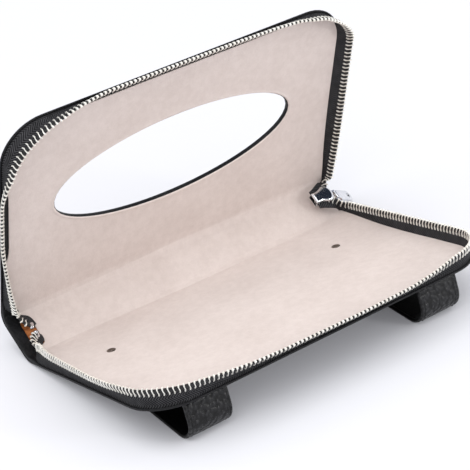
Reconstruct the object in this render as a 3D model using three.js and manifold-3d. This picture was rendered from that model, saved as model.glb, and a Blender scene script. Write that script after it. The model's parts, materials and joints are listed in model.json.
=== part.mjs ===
// Zip-around tissue case for a car's sun visor, standing open on its two strap loops.
// A base panel and a cover panel are joined by a narrow spine that folds at both its edges.
// Each panel is leather turned up round a stiff board, with a suede lining and half a metal zip.
import * as THREE from 'three';
import { mergeVertices } from 'three/addons/utils/BufferGeometryUtils.js';
import Module from 'manifold-3d';

const wasm = await Module();
wasm.setup();

// Driving dimensions in millimetres, the panels and the spine
const panelWidth = 235;
const panelDepth = 140;
const cornerRadius = 27;
const spineWidth = 28;
const foldClearance = 0.3; // each panel and the spine stop this short of their fold lines

// Layers, counted down from the lining's surface
const liningThickness = 0.6;
const boardThickness = 0.9;
const leatherThickness = 1;
const layerGap = 0.2;
const edgeTurn = 1; // wall of the leather that is turned up round a panel
const edgeSoftening = 0.5; // chamfer round the underside of a panel

// Tissue opening in the cover
const openingLength = 166;
const openingHeight = 59;
const openingSetback = 74; // from the cover's fold to the middle of the opening

// Zip tape and metal teeth
const tapeThickness = 0.6;
const tapeReach = 7.4; // tape that shows above the lining
const beadHeight = 1.5;
const beadWidth = 1.4;
const toothHeight = 3;
const toothWidth = 2.6;
const toothPitch = 2.8;
const toothLength = 1.4;
const seatGap = 0.3;
const tuckLength = 20; // stretch over which the tape turns in beside the left end of the spine
const baseTapeStart = 9; // from the fold to the end of each panel's tape, left and right
const baseTapeEnd = 6.4;

// Straps that go round the visor, and the press studs that close them
const strapWidth = 28.5;
const strapThickness = 2.2;
const strapSpread = 79.5; // from the middle of the case to the middle of a strap
const strapDrop = 4.3; // from the underside of the base to the middle of the strap at its stud
const strapBend = 1; // stretch over which the strap turns from level to its slope
const studSetback = 40; // from the base's fold to the middle of a press stud
const leftStudShift = 4.3; // the left stud is set this far outside the middle of its strap
const strapTail = 11; // strap behind the stud
const strapFlat = 8; // level strap in front of the stud
const strapRun = 75;
const strapNoseRadius = 10.5;
const strapTopRadius = 3;
const strapSewnLength = 17;
const studHeadRadius = 3.5;
const studStemRadius = 1.2;
const studFlangeRadius = 4.5;
const studFlange = 0.5;
const studNoseRadius = 2.1;
const studDepth = 2.1;
const socketRadius = 5.2;
const capHeight = 1.2;

// Hem at the left end of the spine, slider and pull at its right end
const hemLength = 7.5;
const spineLiningInset = 15; // the lining stops short of the left end, and the board shows
const sliderInset = 18.2; // from the end of the spine to the tail of the slider
const sliderLength = 14;
const sliderTailWidth = 7.8;
const sliderShoulderWidth = 11.4;
const sliderPlate = 1.2;
const sliderEdge = 0.4; // chamfer round the outer face of each plate
const sliderChannel = 3.2;
const sliderRail = 1.1;
const postLength = 3.8;
const postWidth = 1.8;
const crownWidth = 3;
const crownReach = 2.9;
const crownWall = 0.6;
const bailPivotInset = 10.1; // from the end of the spine to the bail's pivot
const bailDrop = 1.15; // from the slider's lower plate to the bail's pivot
const wireThickness = 1;
const bailLength = 13;
const bailWidth = 7.4;
const tabLength = 20;
const tabWidth = 7.6;
const tabThickness = 1.2;

// Angles of the open case at rest, in degrees
const spineOpening = 46;
const coverOpening = 72;
const strapSlope = 14.3;
const strapTopHeading = 95;
const bailDroop = 12;
const tabDroop = 24; // below the bail's own slope
const baseLean = { corner: 9, front: 52, rear: 7, tuck: -22, rearRight: 7 };
const coverLean = { corner: -4, front: 46, rear: 14, tuck: -18, rearRight: 9 };

// Counts and shares
const cornerSteps = 8;
const openingSteps = 48;
const roundSteps = 14;
const sideSteps = 7;
const tailSteps = 8;
const frontSteps = 16;
const sliderSteps = 8;
const chainSamples = 240;
const splayShare = 0.8; // how evenly the free tape leans along the long edge
const toothHeadShare = 0.78; // a tooth's head, against its width at the tape
const toothTipShare = 0.72; // and against its length at the tape
const waistShare = 0.25; // where the slider starts to widen, along its length
const shoulderShare = 0.72;
const railShare = 0.56;
const postShare = 0.8;

// Tails of the zip over the spine. A station is how far in from the spine's end, how far from the spine's
// middle past the reach of a tooth, and how high: shares of the two sizes given for each end and of the
// height of the tape. The left tails curl in from the side walls and lie down beside the lining's edge.
const leftBeadShares = [[0.567, 0.464, 1.04], [0.587, 0.236, 0.895], [0.727, 0.093, 0.592], [0.847, 0.036, 0.395]];
const leftSewnShares = [[0.8, 0.55, 0.066], [0.907, 0.464, 0.06], [0.993, 0.336, 0.06], [1.053, 0.193, 0.06]];

// The right tails leave the side walls, turn through the slider's throats and lie flat inside it
const rightBeadShares = [[0.192, 1.14, 1.105], [0.214, 0.877, 1.066], [0.264, 0.596, 1.026], [0.39, 0.298, 1],
  [0.538, 0.035, 1], [0.714, 0, 1], [0.901, 0, 1]];
const rightSewnShares = [[0.121, 1.386, 0.04], [0.165, 1.404, 0.342], [0.3, 1.34, 0.78], [0.44, 1.228, 0.95],
  [0.588, 1.14, 1], [0.703, 1.105, 1], [0.813, 1.105, 1]];

// Levels and places that follow from the sizes above
const rad = THREE.MathUtils.degToRad;
const liningBottom = -liningThickness;
const boardTop = liningBottom - layerGap;
const boardBottom = boardTop - boardThickness;
const leatherTop = boardBottom - layerGap;
const leatherBottom = leatherTop - leatherThickness;
const tapeInset = edgeTurn + layerGap + tapeThickness / 2;
const fillInset = edgeTurn + layerGap + tapeThickness + layerGap;
const chainFoot = tapeReach + layerGap;
const toothReach = toothHeight + layerGap / 2;
const sliderLift = chainFoot - sliderChannel / 2 - sliderPlate;
const bailLevel = sliderLift - bailDrop;
const spineMiddle = spineWidth / 2;
const halfWidth = panelWidth / 2;

// Finishes
function finish(color, roughness, metalness = 0) {
  return new THREE.MeshStandardMaterial({ color, roughness, metalness });
}
const blackLeather = finish(0x232326, 0.55);
const suede = finish(0xe0d3cc, 0.95);
const greyBoard = finish(0x8d8478, 0.9);
const orangeBoard = finish(0xb45a26, 0.85);
const blackTape = finish(0x18181a, 0.8);
const paleNickel = finish(0xd6cfc0, 0.3, 1);
const brightNickel = finish(0xc9ccd0, 0.18, 1);
const gunmetal = finish(0x5a5552, 0.4, 1);

// Solids and booleans
function positionsOnly(geometry) {
  const bare = geometry.clone();
  bare.deleteAttribute('normal');
  bare.deleteAttribute('uv');
  return mergeVertices(bare);
}

function toSolid(geometry) {
  const merged = positionsOnly(geometry);
  const vertProperties = new Float32Array(merged.attributes.position.array);
  const triVerts = new Uint32Array(merged.index.array);
  return new wasm.Manifold(new wasm.Mesh({ numProp: 3, vertProperties, triVerts }));
}

function toGeometry(solid) {
  const { vertProperties, triVerts } = solid.getMesh();
  const geometry = new THREE.BufferGeometry();
  geometry.setAttribute('position', new THREE.BufferAttribute(vertProperties, 3));
  geometry.setIndex(new THREE.BufferAttribute(triVerts, 1));
  geometry.computeVertexNormals();
  return geometry;
}

function cut(geometry, ...tools) {
  return toGeometry(tools.reduce((solid, tool) => solid.subtract(toSolid(tool)), toSolid(geometry)));
}

function join(geometry, ...others) {
  return toGeometry(others.reduce((solid, other) => solid.add(toSolid(other)), toSolid(geometry)));
}

// Six times the volume inside a closed mesh, negative when its faces point inwards
function signedVolume(points, faces) {
  let sum = 0;
  for (const [a, b, c] of faces) {
    sum += points[a].dot(new THREE.Vector3().crossVectors(points[b], points[c]));
  }
  return sum;
}

// Skin over a row of equal rings, with both ends closed by the flat section given
function loft(rings, section) {
  const size = rings[0].length;
  const points = rings.flat();
  const faces = [];
  for (let ring = 0; ring + 1 < rings.length; ring += 1) {
    for (let side = 0; side < size; side += 1) {
      const next = (side + 1) % size;
      const a = ring * size + side;
      const b = ring * size + next;
      faces.push([a, b, b + size], [a, b + size, a + size]);
    }
  }
  const last = (rings.length - 1) * size;
  const clockwise = THREE.ShapeUtils.isClockWise(section);
  for (const [a, b, c] of THREE.ShapeUtils.triangulateShape(section, [])) {
    const [first, second] = clockwise ? [c, a] : [a, c];
    faces.push([second, b, first], [last + first, last + b, last + second]);
  }
  const outward = signedVolume(points, faces) > 0;
  const geometry = new THREE.BufferGeometry();
  geometry.setFromPoints(points);
  geometry.setIndex(faces.flatMap(([a, b, c]) => (outward ? [a, b, c] : [a, c, b])));
  geometry.computeVertexNormals();
  return geometry;
}

// Flat sheet of any outline between two levels
function slab(outline, bottom, top, holes = []) {
  const shape = new THREE.Shape(outline);
  holes.forEach((hole) => shape.holes.push(new THREE.Path(hole)));
  const geometry = new THREE.ExtrudeGeometry(shape, { depth: top - bottom, bevelEnabled: false });
  return geometry.translate(0, 0, bottom);
}

// Sheet whose lower edge is chamfered all round
function softSlab(outlineAt, bottom, top, softening) {
  const levels = [[softening, bottom], [0, bottom + softening], [0, top]];
  const rings = levels.map(([inset, z]) => outlineAt(inset).map((p) => new THREE.Vector3(p.x, p.y, z)));
  return loft(rings, outlineAt(softening));
}

function ellipse(length, height, middle, grow) {
  const points = [];
  for (let i = 0; i < openingSteps; i += 1) {
    const turn = (i / openingSteps) * 2 * Math.PI;
    const x = (length / 2 + grow) * Math.cos(turn);
    points.push(new THREE.Vector2(x, middle + (height / 2 + grow) * Math.sin(turn)));
  }
  return points;
}

function circle(x, y, radius) {
  const points = [];
  for (let i = 0; i < roundSteps; i += 1) {
    const turn = (i / roundSteps) * 2 * Math.PI;
    points.push(new THREE.Vector2(x + radius * Math.cos(turn), y + radius * Math.sin(turn)));
  }
  return points;
}

// Panel outline: square at the fold, round at the two free corners. The base runs to -Y, the cover to +Y.
function panelOutline(side, inset, rear) {
  const half = halfWidth - inset;
  const front = panelDepth - inset;
  const radius = cornerRadius - inset;
  const points = [new THREE.Vector2(-half, side * rear)];
  for (const end of [-1, 1]) {
    for (let i = 0; i <= cornerSteps; i += 1) {
      const share = end < 0 ? i / cornerSteps : 1 - i / cornerSteps;
      const turn = (share * Math.PI) / 2;
      const x = half - radius + radius * Math.cos(turn);
      const v = front - radius + radius * Math.sin(turn);
      points.push(new THREE.Vector2(end * x, side * v));
    }
  }
  points.push(new THREE.Vector2(half, side * rear));
  return points;
}

// Leather of a panel: a shallow tray, open at the fold
function panelLeather(side) {
  const outline = (inset) => panelOutline(side, inset, foldClearance + inset);
  const block = softSlab(outline, leatherBottom, liningBottom, edgeSoftening);
  const pocket = slab(panelOutline(side, edgeTurn, -panelDepth), leatherTop, panelDepth);
  return cut(block, pocket);
}

// Press studs of the base, the left one a little outside the middle of its strap
function studShift(end) {
  return end < 0 ? -leftStudShift : 0;
}

function studPlaces() {
  return [-1, 1].map((end) => [end * strapSpread + studShift(end), -studSetback]);
}

// Board and lining fill the tray inside the tape
function panelFill(side, bottom, top, holes) {
  return slab(panelOutline(side, fillInset, foldClearance), bottom, top, holes);
}

// Edge of a panel, followed from the left end of the fold, round the free edge, to the right end
function panelEdge(start, end) {
  const half = halfWidth - tapeInset;
  const front = panelDepth - tapeInset;
  const radius = cornerRadius - tapeInset;
  const arc = (radius * Math.PI) / 2;
  const left = front - radius - start;
  const across = 2 * (half - radius);
  const right = front - radius - end;
  const total = left + arc + across + arc + right;
  const corner = (distance, sign) => {
    const turn = sign < 0 ? distance / radius : Math.PI / 2 - distance / radius;
    const nx = sign * Math.cos(turn);
    const nv = Math.sin(turn);
    return { x: sign * (half - radius) + radius * nx, v: front - radius + radius * nv, nx, nv };
  };
  const at = (share) => {
    let d = share * total;
    if (d <= left) return { x: -half, v: start + d, nx: -1, nv: 0, zone: 'left', place: d / left, run: d };
    d -= left;
    if (d <= arc) return { ...corner(d, -1), zone: 'corner' };
    d -= arc;
    if (d <= across) return { x: d - half + radius, v: front, nx: 0, nv: 1, zone: 'front', place: d / across };
    d -= across;
    if (d <= arc) return { ...corner(d, 1), zone: 'corner' };
    d -= arc;
    return { x: half, v: front - radius - d, nx: 1, nv: 0, zone: 'right', place: d / right };
  };
  const marks = [];
  const addMarks = (from, length, steps) => {
    for (let i = 0; i < steps; i += 1) marks.push((from + (length * i) / steps) / total);
  };
  addMarks(0, Math.min(tuckLength, left), sideSteps);
  addMarks(Math.min(tuckLength, left), left - Math.min(tuckLength, left), sideSteps);
  addMarks(left, arc, cornerSteps);
  addMarks(left + arc, across, frontSteps);
  addMarks(left + arc + across, arc, cornerSteps);
  addMarks(left + arc + across + arc, right, sideSteps);
  marks.push(1);
  return { at, marks };
}

// The free tape leans out along the long edge, stays steep at the corners and turns in beside the spine
function tapeLean(place, lean) {
  const mix = THREE.MathUtils.lerp;
  if (place.zone === 'front') return mix(lean.corner, lean.front, Math.sin(Math.PI * place.place) ** splayShare);
  if (place.zone === 'left') {
    const steady = mix(lean.rear, lean.corner, place.place);
    return mix(lean.tuck, steady, THREE.MathUtils.smoothstep(place.run, 0, tuckLength));
  }
  if (place.zone === 'right') return mix(lean.corner, lean.rearRight, place.place);
  return lean.corner;
}

function panelTape(side, lean, edge) {
  const half = tapeThickness / 2;
  const footLevel = leatherTop + layerGap;
  const sectionAt = (angle) => {
    const out = Math.sin(angle);
    const up = Math.cos(angle);
    const top = [tapeReach * out, tapeReach * up];
    return [[-half, footLevel], [half, footLevel], [half, 0], [top[0] + half * up, top[1] - half * out],
      [top[0] - half * up, top[1] + half * out], [-half, 0]].map(([a, z]) => new THREE.Vector2(a, z));
  };
  const rings = edge.marks.map((share) => {
    const p = edge.at(share);
    const section = sectionAt(rad(tapeLean(p, lean)));
    return section.map((q) => new THREE.Vector3(p.x + q.x * p.nx, side * (p.v + q.x * p.nv), q.y));
  });
  return loft(rings, sectionAt(rad(lean.tuck)));
}

// Section of a tooth across the chain, or of the stop that closes it, wide at the tape and narrower at the head
function toothSection(share) {
  const foot = (toothWidth / 2) * share;
  const head = foot * toothHeadShare;
  return [[-foot, 0], [foot, 0], [head, toothHeight * share], [-head, toothHeight * share]];
}

// Teeth on their bead: tapered blocks at one pitch, with a notch down to the bead between two blocks
function toothRow(frameAt) {
  const samples = chainSamples;
  const feet = [];
  for (let i = 0; i <= samples; i += 1) feet.push(frameAt(i / samples).foot);
  const lengths = [0];
  for (let i = 1; i <= samples; i += 1) lengths.push(lengths[i - 1] + feet[i].distanceTo(feet[i - 1]));
  const total = lengths[samples];
  const shareAt = (length) => {
    let i = 1;
    while (i < samples && lengths[i] < length) i += 1;
    return (i - 1 + (length - lengths[i - 1]) / (lengths[i] - lengths[i - 1])) / samples;
  };
  const count = Math.floor((total - toothLength) / toothPitch) + 1;
  const block = toothSection(1);
  const notch = [[-beadWidth / 2, 0], [beadWidth / 2, 0], [beadWidth / 2, beadHeight], [-beadWidth / 2, beadHeight]];
  const taper = (toothLength * (1 - toothTipShare)) / 2;
  const ringAt = (length, section, skew) => {
    const { foot, up, across } = frameAt(THREE.MathUtils.clamp(shareAt(length), 0, 1));
    const along = new THREE.Vector3().crossVectors(up, across).normalize();
    return section.map(([w, h]) => foot.clone()
      .addScaledVector(across, w).addScaledVector(up, h).addScaledVector(along, h > 0 ? skew : 0));
  };
  const rings = [];
  const lead = (total - (count - 1) * toothPitch - toothLength) / 2;
  for (let i = 0; i < count; i += 1) {
    const start = lead + i * toothPitch;
    rings.push(ringAt(start, block, taper), ringAt(start + toothLength, block, -taper));
    if (i + 1 < count) rings.push(ringAt(start + (toothLength + toothPitch) / 2, notch, 0));
  }
  return loft(rings, block.map(([w, h]) => new THREE.Vector2(w, h)));
}

function panelTeeth(side, lean, edge) {
  const footAt = (share) => {
    const p = edge.at(THREE.MathUtils.clamp(share, 0, 1));
    const angle = rad(tapeLean(p, lean));
    const up = new THREE.Vector3(p.nx * Math.sin(angle), side * p.nv * Math.sin(angle), Math.cos(angle));
    return { foot: new THREE.Vector3(p.x, side * p.v, 0).addScaledVector(up, chainFoot), up };
  };
  const nearShare = 1 / (2 * chainSamples);
  return toothRow((share) => {
    const { foot, up } = footAt(share);
    const along = footAt(share + nearShare).foot.sub(footAt(share - nearShare).foot).normalize();
    const across = new THREE.Vector3().crossVectors(along, up).normalize();
    return { foot, up: new THREE.Vector3().crossVectors(across, along).normalize(), across };
  });
}

// Tail of a zip half over the spine: a ribbon between its sewn edge and its beaded edge
function tailFrame(sewn, beaded) {
  return (share) => {
    const foot = beaded.getPoint(share);
    const along = beaded.getTangent(share);
    const lift = foot.clone().sub(sewn.getPoint(share)).normalize();
    const across = new THREE.Vector3().crossVectors(along, lift).normalize();
    return { foot, up: new THREE.Vector3().crossVectors(across, along).normalize(), across, lift };
  };
}

function tailTape(sewn, beaded) {
  const half = tapeThickness / 2;
  const frameAt = tailFrame(sewn, beaded);
  const rings = [];
  for (let i = 0; i <= tailSteps; i += 1) {
    const share = i / tailSteps;
    const { foot, across, lift } = frameAt(share);
    const low = sewn.getPoint(share);
    const high = foot.clone().addScaledVector(lift, -seatGap - layerGap);
    rings.push([low.clone().addScaledVector(across, -half), low.clone().addScaledVector(across, half),
      high.clone().addScaledVector(across, half), high.clone().addScaledVector(across, -half)]);
  }
  const section = [[-half, 0], [half, 0], [half, tapeReach], [-half, tapeReach]];
  return loft(rings, section.map(([w, h]) => new THREE.Vector2(w, h)));
}

// Curve through stations over the spine, mirrored for the upper tail and for the left end
function spineCurve(end, upper, stationShares) {
  const run = end < 0 ? spineLiningInset : sliderInset;
  const spread = end < 0 ? spineMiddle : sliderShoulderWidth / 2;
  const points = stationShares.map(([inset, side, level]) => {
    const away = toothReach + side * spread;
    return new THREE.Vector3(end * (halfWidth - inset * run), spineMiddle + (upper ? away : -away), level * chainFoot);
  });
  return new THREE.CatmullRomCurve3(points);
}

function tailCurves(end, upper) {
  const beadShares = end < 0 ? leftBeadShares : rightBeadShares;
  const sewnShares = end < 0 ? leftSewnShares : rightSewnShares;
  return [spineCurve(end, upper, sewnShares), spineCurve(end, upper, beadShares)];
}

// Small metal stop squeezed over the end of a left tail
function topStop(upper) {
  const [sewn, beaded] = tailCurves(-1, upper);
  const { foot, up, across } = tailFrame(sewn, beaded)(1);
  const along = new THREE.Vector3().crossVectors(up, across).normalize();
  const direction = along.dot(beaded.getTangent(1)) > 0 ? 1 : -1;
  const ring = (step, share) => toothSection(share).map(([w, h]) => foot.clone()
    .addScaledVector(across, w).addScaledVector(up, h).addScaledVector(along, direction * step));
  const rings = [ring(seatGap, 1), ring(seatGap + toothLength / 2, 1), ring(seatGap + toothLength, toothHeadShare)];
  return loft(rings, toothSection(1).map(([w, h]) => new THREE.Vector2(w, h)));
}

// Spine leather: a flat back, turned up at its right end and hemmed in over the board at its left end
function spineLeather() {
  const wall = halfWidth - edgeTurn;
  const hem = halfWidth - hemLength;
  const profile = [
    [-halfWidth, leatherBottom], [halfWidth, leatherBottom], [halfWidth, liningBottom], [wall, liningBottom],
    [wall, leatherTop], [-wall, leatherTop], [-wall, liningBottom], [-hem, liningBottom], [-hem, 0], [-halfWidth, 0]];
  const outline = profile.map(([x, z]) => new THREE.Vector2(x, z));
  const width = spineWidth - 2 * foldClearance;
  const geometry = slab(outline, 0, width);
  return geometry.rotateX(Math.PI / 2).translate(0, spineWidth - foldClearance, 0);
}

function spineStrip(leftInset, rightInset, bottom, top) {
  const left = leftInset - halfWidth;
  const right = halfWidth - rightInset;
  const outline = [[left, foldClearance], [right, foldClearance],
    [right, spineWidth - foldClearance], [left, spineWidth - foldClearance]];
  return slab(outline.map(([x, y]) => new THREE.Vector2(x, y)), bottom, top);
}

// Half the slider's width at a share of its length: a square tail, a smooth flare and a round nose
function sliderHalfWidth(share) {
  if (share > shoulderShare) {
    const nose = (share - shoulderShare) / (1 - shoulderShare);
    return (sliderShoulderWidth / 2) * Math.sqrt(1 - nose * nose);
  }
  const flare = THREE.MathUtils.smoothstep(share, waistShare, shoulderShare);
  return THREE.MathUtils.lerp(sliderTailWidth, sliderShoulderWidth, flare) / 2;
}

function sliderTail() {
  return halfWidth - sliderInset;
}

// Slider seen from above, drawn in by the inset. The steps close up towards the round nose.
function sliderOutline(inset) {
  const side = [];
  for (let i = 0; i < sliderSteps; i += 1) {
    const share = Math.sin((i / sliderSteps) * (Math.PI / 2));
    const along = inset + share * (sliderLength - 2 * inset);
    side.push([sliderTail() + along, sliderHalfWidth(share) - inset]);
  }
  const lower = side.map(([x, y]) => [x, -y]);
  const nose = [sliderTail() + sliderLength - inset, 0];
  return [...lower, nose, ...side.reverse()].map(([x, y]) => new THREE.Vector2(x, spineMiddle + y));
}

// Plate of the slider between its inner level and its chamfered outer level
function sliderFace(inner, outer) {
  const edge = Math.sign(outer - inner) * sliderEdge;
  const levels = [[0, inner], [0, outer - edge], [sliderEdge, outer]];
  const rings = levels.map(([inset, z]) => sliderOutline(inset).map((p) => new THREE.Vector3(p.x, p.y, z)));
  return loft(rings, sliderOutline(0));
}

// Side rail of the slider, which keeps the teeth in the channel and leaves a slot for the tape
function sliderShelf(flip) {
  const track = toothReach + seatGap;
  const outline = [[sliderTail(), track], [sliderTail() + sliderLength * railShare, track]];
  const steps = sliderSteps / 2;
  for (let i = steps; i >= 0; i -= 1) {
    const share = (railShare * i) / steps;
    outline.push([sliderTail() + sliderLength * share, sliderHalfWidth(share)]);
  }
  return outline.map(([x, y]) => new THREE.Vector2(x, spineMiddle + flip * y));
}

function sliderBody() {
  const floor = sliderLift + sliderPlate;
  const roof = floor + sliderChannel;
  const lap = sliderPlate / 2;
  const solids = [sliderFace(floor, sliderLift), sliderFace(roof, roof + sliderPlate)];
  for (const flip of [-1, 1]) {
    solids.push(slab(sliderShelf(flip), floor - lap, floor + sliderRail));
    solids.push(slab(sliderShelf(flip), roof - sliderRail, roof + lap));
  }
  const middle = sliderTail() + sliderLength * postShare;
  const post = [[-postLength / 2, 0], [0, -postWidth / 2], [postLength / 2, 0], [0, postWidth / 2]];
  const diamond = post.map(([x, y]) => new THREE.Vector2(middle + x, spineMiddle + y));
  return join(...solids, slab(diamond, floor - lap, roof + lap), crown());
}

// Bridge under the slider, whose tunnel holds the bail
function crown() {
  const x = halfWidth - bailPivotInset;
  const tunnel = wireThickness / 2 + seatGap;
  const top = sliderLift + sliderPlate / 2;
  const low = bailLevel - tunnel;
  const side = tunnel + layerGap;
  const profile = [[x - crownReach, top], [x - crownReach, bailLevel], [x - tunnel, low - crownWall],
    [x + tunnel, low - crownWall], [x + crownReach, bailLevel], [x + crownReach, top]];
  const hole = [[x - side, sliderLift], [x - side, low], [x + side, low], [x + side, sliderLift]];
  const flat = (points) => points.map(([a, b]) => new THREE.Vector2(a, b));
  const solid = slab(flat(profile), -crownWidth / 2, crownWidth / 2, [flat(hole)]);
  return solid.rotateX(Math.PI / 2).translate(0, spineMiddle, 0);
}

// Bail and tab are made about their own pivots: X outwards, Y across, Z up
function bail() {
  const half = wireThickness / 2;
  const arm = (y) => new THREE.BoxGeometry(bailLength + wireThickness, wireThickness, wireThickness)
    .translate(bailLength / 2, y, 0);
  const bar = (x) => new THREE.CylinderGeometry(half, half, bailWidth, roundSteps / 2).translate(x, 0, 0);
  const span = (bailWidth - wireThickness) / 2;
  return join(arm(-span), arm(span), bar(0), bar(bailLength));
}

function pullTab() {
  const knuckle = wireThickness / 2 + seatGap + tabThickness / 2;
  const bore = wireThickness / 2 + seatGap / 2;
  const headWidth = bailWidth - 2 * wireThickness - 2 * seatGap;
  const neck = knuckle + seatGap + wireThickness;
  const plate = slab([[0, -tabThickness / 2], [tabLength, -tabThickness / 2], [tabLength, tabThickness / 2],
    [0, tabThickness / 2]].map(([x, z]) => new THREE.Vector2(x, z)), -tabWidth / 2, tabWidth / 2);
  const side = join(plate, slab(circle(0, 0, knuckle), -tabWidth / 2, tabWidth / 2));
  const end = tabWidth / 2;
  const plan = [[-knuckle - seatGap, -headWidth / 2], [neck, -headWidth / 2], [neck + wireThickness, -end]];
  for (let i = 0; i <= cornerSteps; i += 1) {
    const turn = (i / cornerSteps - 1 / 2) * Math.PI;
    plan.push([tabLength - end + end * Math.cos(turn), end * Math.sin(turn)]);
  }
  plan.push([neck + wireThickness, end], [neck, headWidth / 2], [-knuckle - seatGap, headWidth / 2]);
  const template = slab(plan.map(([x, y]) => new THREE.Vector2(x, y)), -tabLength, tabLength);
  const upright = side.rotateX(Math.PI / 2);
  const shaped = toSolid(upright).intersect(toSolid(template));
  const window = slab(circle(tabLength - end, 0, end / 2), -tabLength, tabLength);
  const pin = new THREE.CylinderGeometry(bore, bore, 2 * tabWidth, roundSteps);
  return cut(toGeometry(shaped), window, pin);
}

// Strap seen from its side: forward distance from the fold, and level
const strapLevel = leatherBottom - strapDrop;
const slope = rad(strapSlope);
const topHeading = rad(strapTopHeading);
const runStart = new THREE.Vector2(studSetback + strapFlat, strapLevel);
const runEnd = new THREE.Vector2(Math.cos(slope), -Math.sin(slope)).multiplyScalar(strapRun).add(runStart);
const noseMiddle = new THREE.Vector2(Math.sin(slope), Math.cos(slope)).multiplyScalar(strapNoseRadius).add(runEnd);
const noseEnd = new THREE.Vector2(Math.sin(topHeading), -Math.cos(topHeading))
  .multiplyScalar(strapNoseRadius).add(noseMiddle);
const sewnLevel = leatherBottom - layerGap - strapThickness / 2;
const riseHeight = sewnLevel - strapTopRadius * (1 + Math.cos(topHeading)) - noseEnd.y;
const riseEnd = new THREE.Vector2(riseHeight / Math.tan(topHeading), riseHeight).add(noseEnd);
const topMiddle = new THREE.Vector2(-Math.sin(topHeading), Math.cos(topHeading))
  .multiplyScalar(strapTopRadius).add(riseEnd);

function strapSolid(path) {
  const points = path.getPoints(cornerSteps);
  const offset = (sign) => points.map((p, i) => {
    const before = points[Math.max(i - 1, 0)];
    const after = points[Math.min(i + 1, points.length - 1)];
    const along = after.clone().sub(before).normalize();
    return new THREE.Vector2(p.x - sign * along.y * (strapThickness / 2), p.y + sign * along.x * (strapThickness / 2));
  });
  const outline = [...offset(1), ...offset(-1).reverse()];
  const geometry = slab(outline, -strapWidth / 2, strapWidth / 2);
  // the drawing's forward axis becomes -Y, its height becomes Z and its thickness X
  const turn = new THREE.Matrix4().makeBasis(
    new THREE.Vector3(0, -1, 0), new THREE.Vector3(0, 0, 1), new THREE.Vector3(-1, 0, 0));
  return geometry.applyMatrix4(turn);
}

function strapLoop(shift) {
  const path = new THREE.Path();
  path.moveTo(studSetback - strapTail, strapLevel);
  path.lineTo(studSetback, strapLevel);
  path.lineTo(runStart.x - strapBend, strapLevel);
  path.quadraticCurveTo(runStart.x, strapLevel,
    runStart.x + strapBend * Math.cos(slope), strapLevel - strapBend * Math.sin(slope));
  path.lineTo(runEnd.x, runEnd.y);
  path.absarc(noseMiddle.x, noseMiddle.y, strapNoseRadius, -Math.PI / 2 - slope, topHeading - Math.PI / 2, false);
  path.lineTo(riseEnd.x, riseEnd.y - seatGap);
  const bore = studStemRadius + seatGap;
  const hole = new THREE.CylinderGeometry(bore, bore, 2 * strapThickness, roundSteps);
  hole.rotateX(Math.PI / 2).translate(shift, -studSetback, strapLevel);
  return cut(strapSolid(path), hole);
}

function strapAnchor() {
  const path = new THREE.Path();
  path.moveTo(riseEnd.x, riseEnd.y);
  path.absarc(topMiddle.x, topMiddle.y, strapTopRadius, topHeading - Math.PI / 2, Math.PI / 2, false);
  path.lineTo(topMiddle.x - strapSewnLength, topMiddle.y + strapTopRadius);
  return strapSolid(path);
}

// Press stud: post from inside the case, stud under it, socket and cap on the strap
const studTop = leatherBottom - layerGap;
const socketTop = studTop - studFlange - seatGap;
const strapTop = strapLevel + strapThickness / 2;
const strapBottom = strapLevel - strapThickness / 2;

function turned(profile) {
  const points = profile.map(([radius, z]) => new THREE.Vector2(radius, z));
  return new THREE.LatheGeometry(points, roundSteps).rotateX(Math.PI / 2);
}

function studPost() {
  const headTop = -layerGap;
  const tip = studTop - studDepth + layerGap;
  return turned([[0, tip], [studStemRadius, tip], [studStemRadius, liningBottom], [studHeadRadius, liningBottom],
    [studHeadRadius, headTop - layerGap], [studHeadRadius - layerGap, headTop], [0, headTop]]);
}

function studNose() {
  const bore = studStemRadius + layerGap;
  const low = studTop - studDepth;
  return turned([[bore, low], [studNoseRadius - layerGap, low], [studNoseRadius, low + seatGap],
    [studNoseRadius - layerGap, studTop - studFlange], [studFlangeRadius, studTop - studFlange],
    [studFlangeRadius, studTop], [bore, studTop], [bore, low]]);
}

function studSocket() {
  const bore = studNoseRadius + seatGap;
  const low = strapTop + layerGap;
  return turned([[bore, low], [socketRadius, low], [socketRadius, socketTop - seatGap],
    [socketRadius - seatGap, socketTop], [bore, socketTop], [bore, low]]);
}

function studCap() {
  const rimTop = strapBottom - layerGap;
  const brow = Math.SQRT1_2;
  return turned([[0, rimTop - capHeight], [socketRadius * brow, rimTop - capHeight * brow],
    [socketRadius, rimTop - seatGap], [socketRadius, rimTop], [studStemRadius, rimTop],
    [studStemRadius, strapTop], [0, strapTop]]);
}

// The base tilts until the strap noses and the fold's lower edge stand on one level
const noseReach = strapNoseRadius + strapThickness / 2;
const noseFromFold = new THREE.Vector2(noseMiddle.x - foldClearance - edgeSoftening, noseMiddle.y - leatherBottom);
const baseTilt = Math.atan2(-noseFromFold.y, noseFromFold.x) + Math.asin(noseReach / noseFromFold.length());

function place(parent, name, geometry, material) {
  const mesh = new THREE.Mesh(geometry, material);
  mesh.name = name;
  parent.add(mesh);
  return mesh;
}

function frame(parent, x, y, z, angle) {
  const group = new THREE.Group();
  group.position.set(x, y, z);
  group.rotation.x = angle;
  parent.add(group);
  return group;
}

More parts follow.
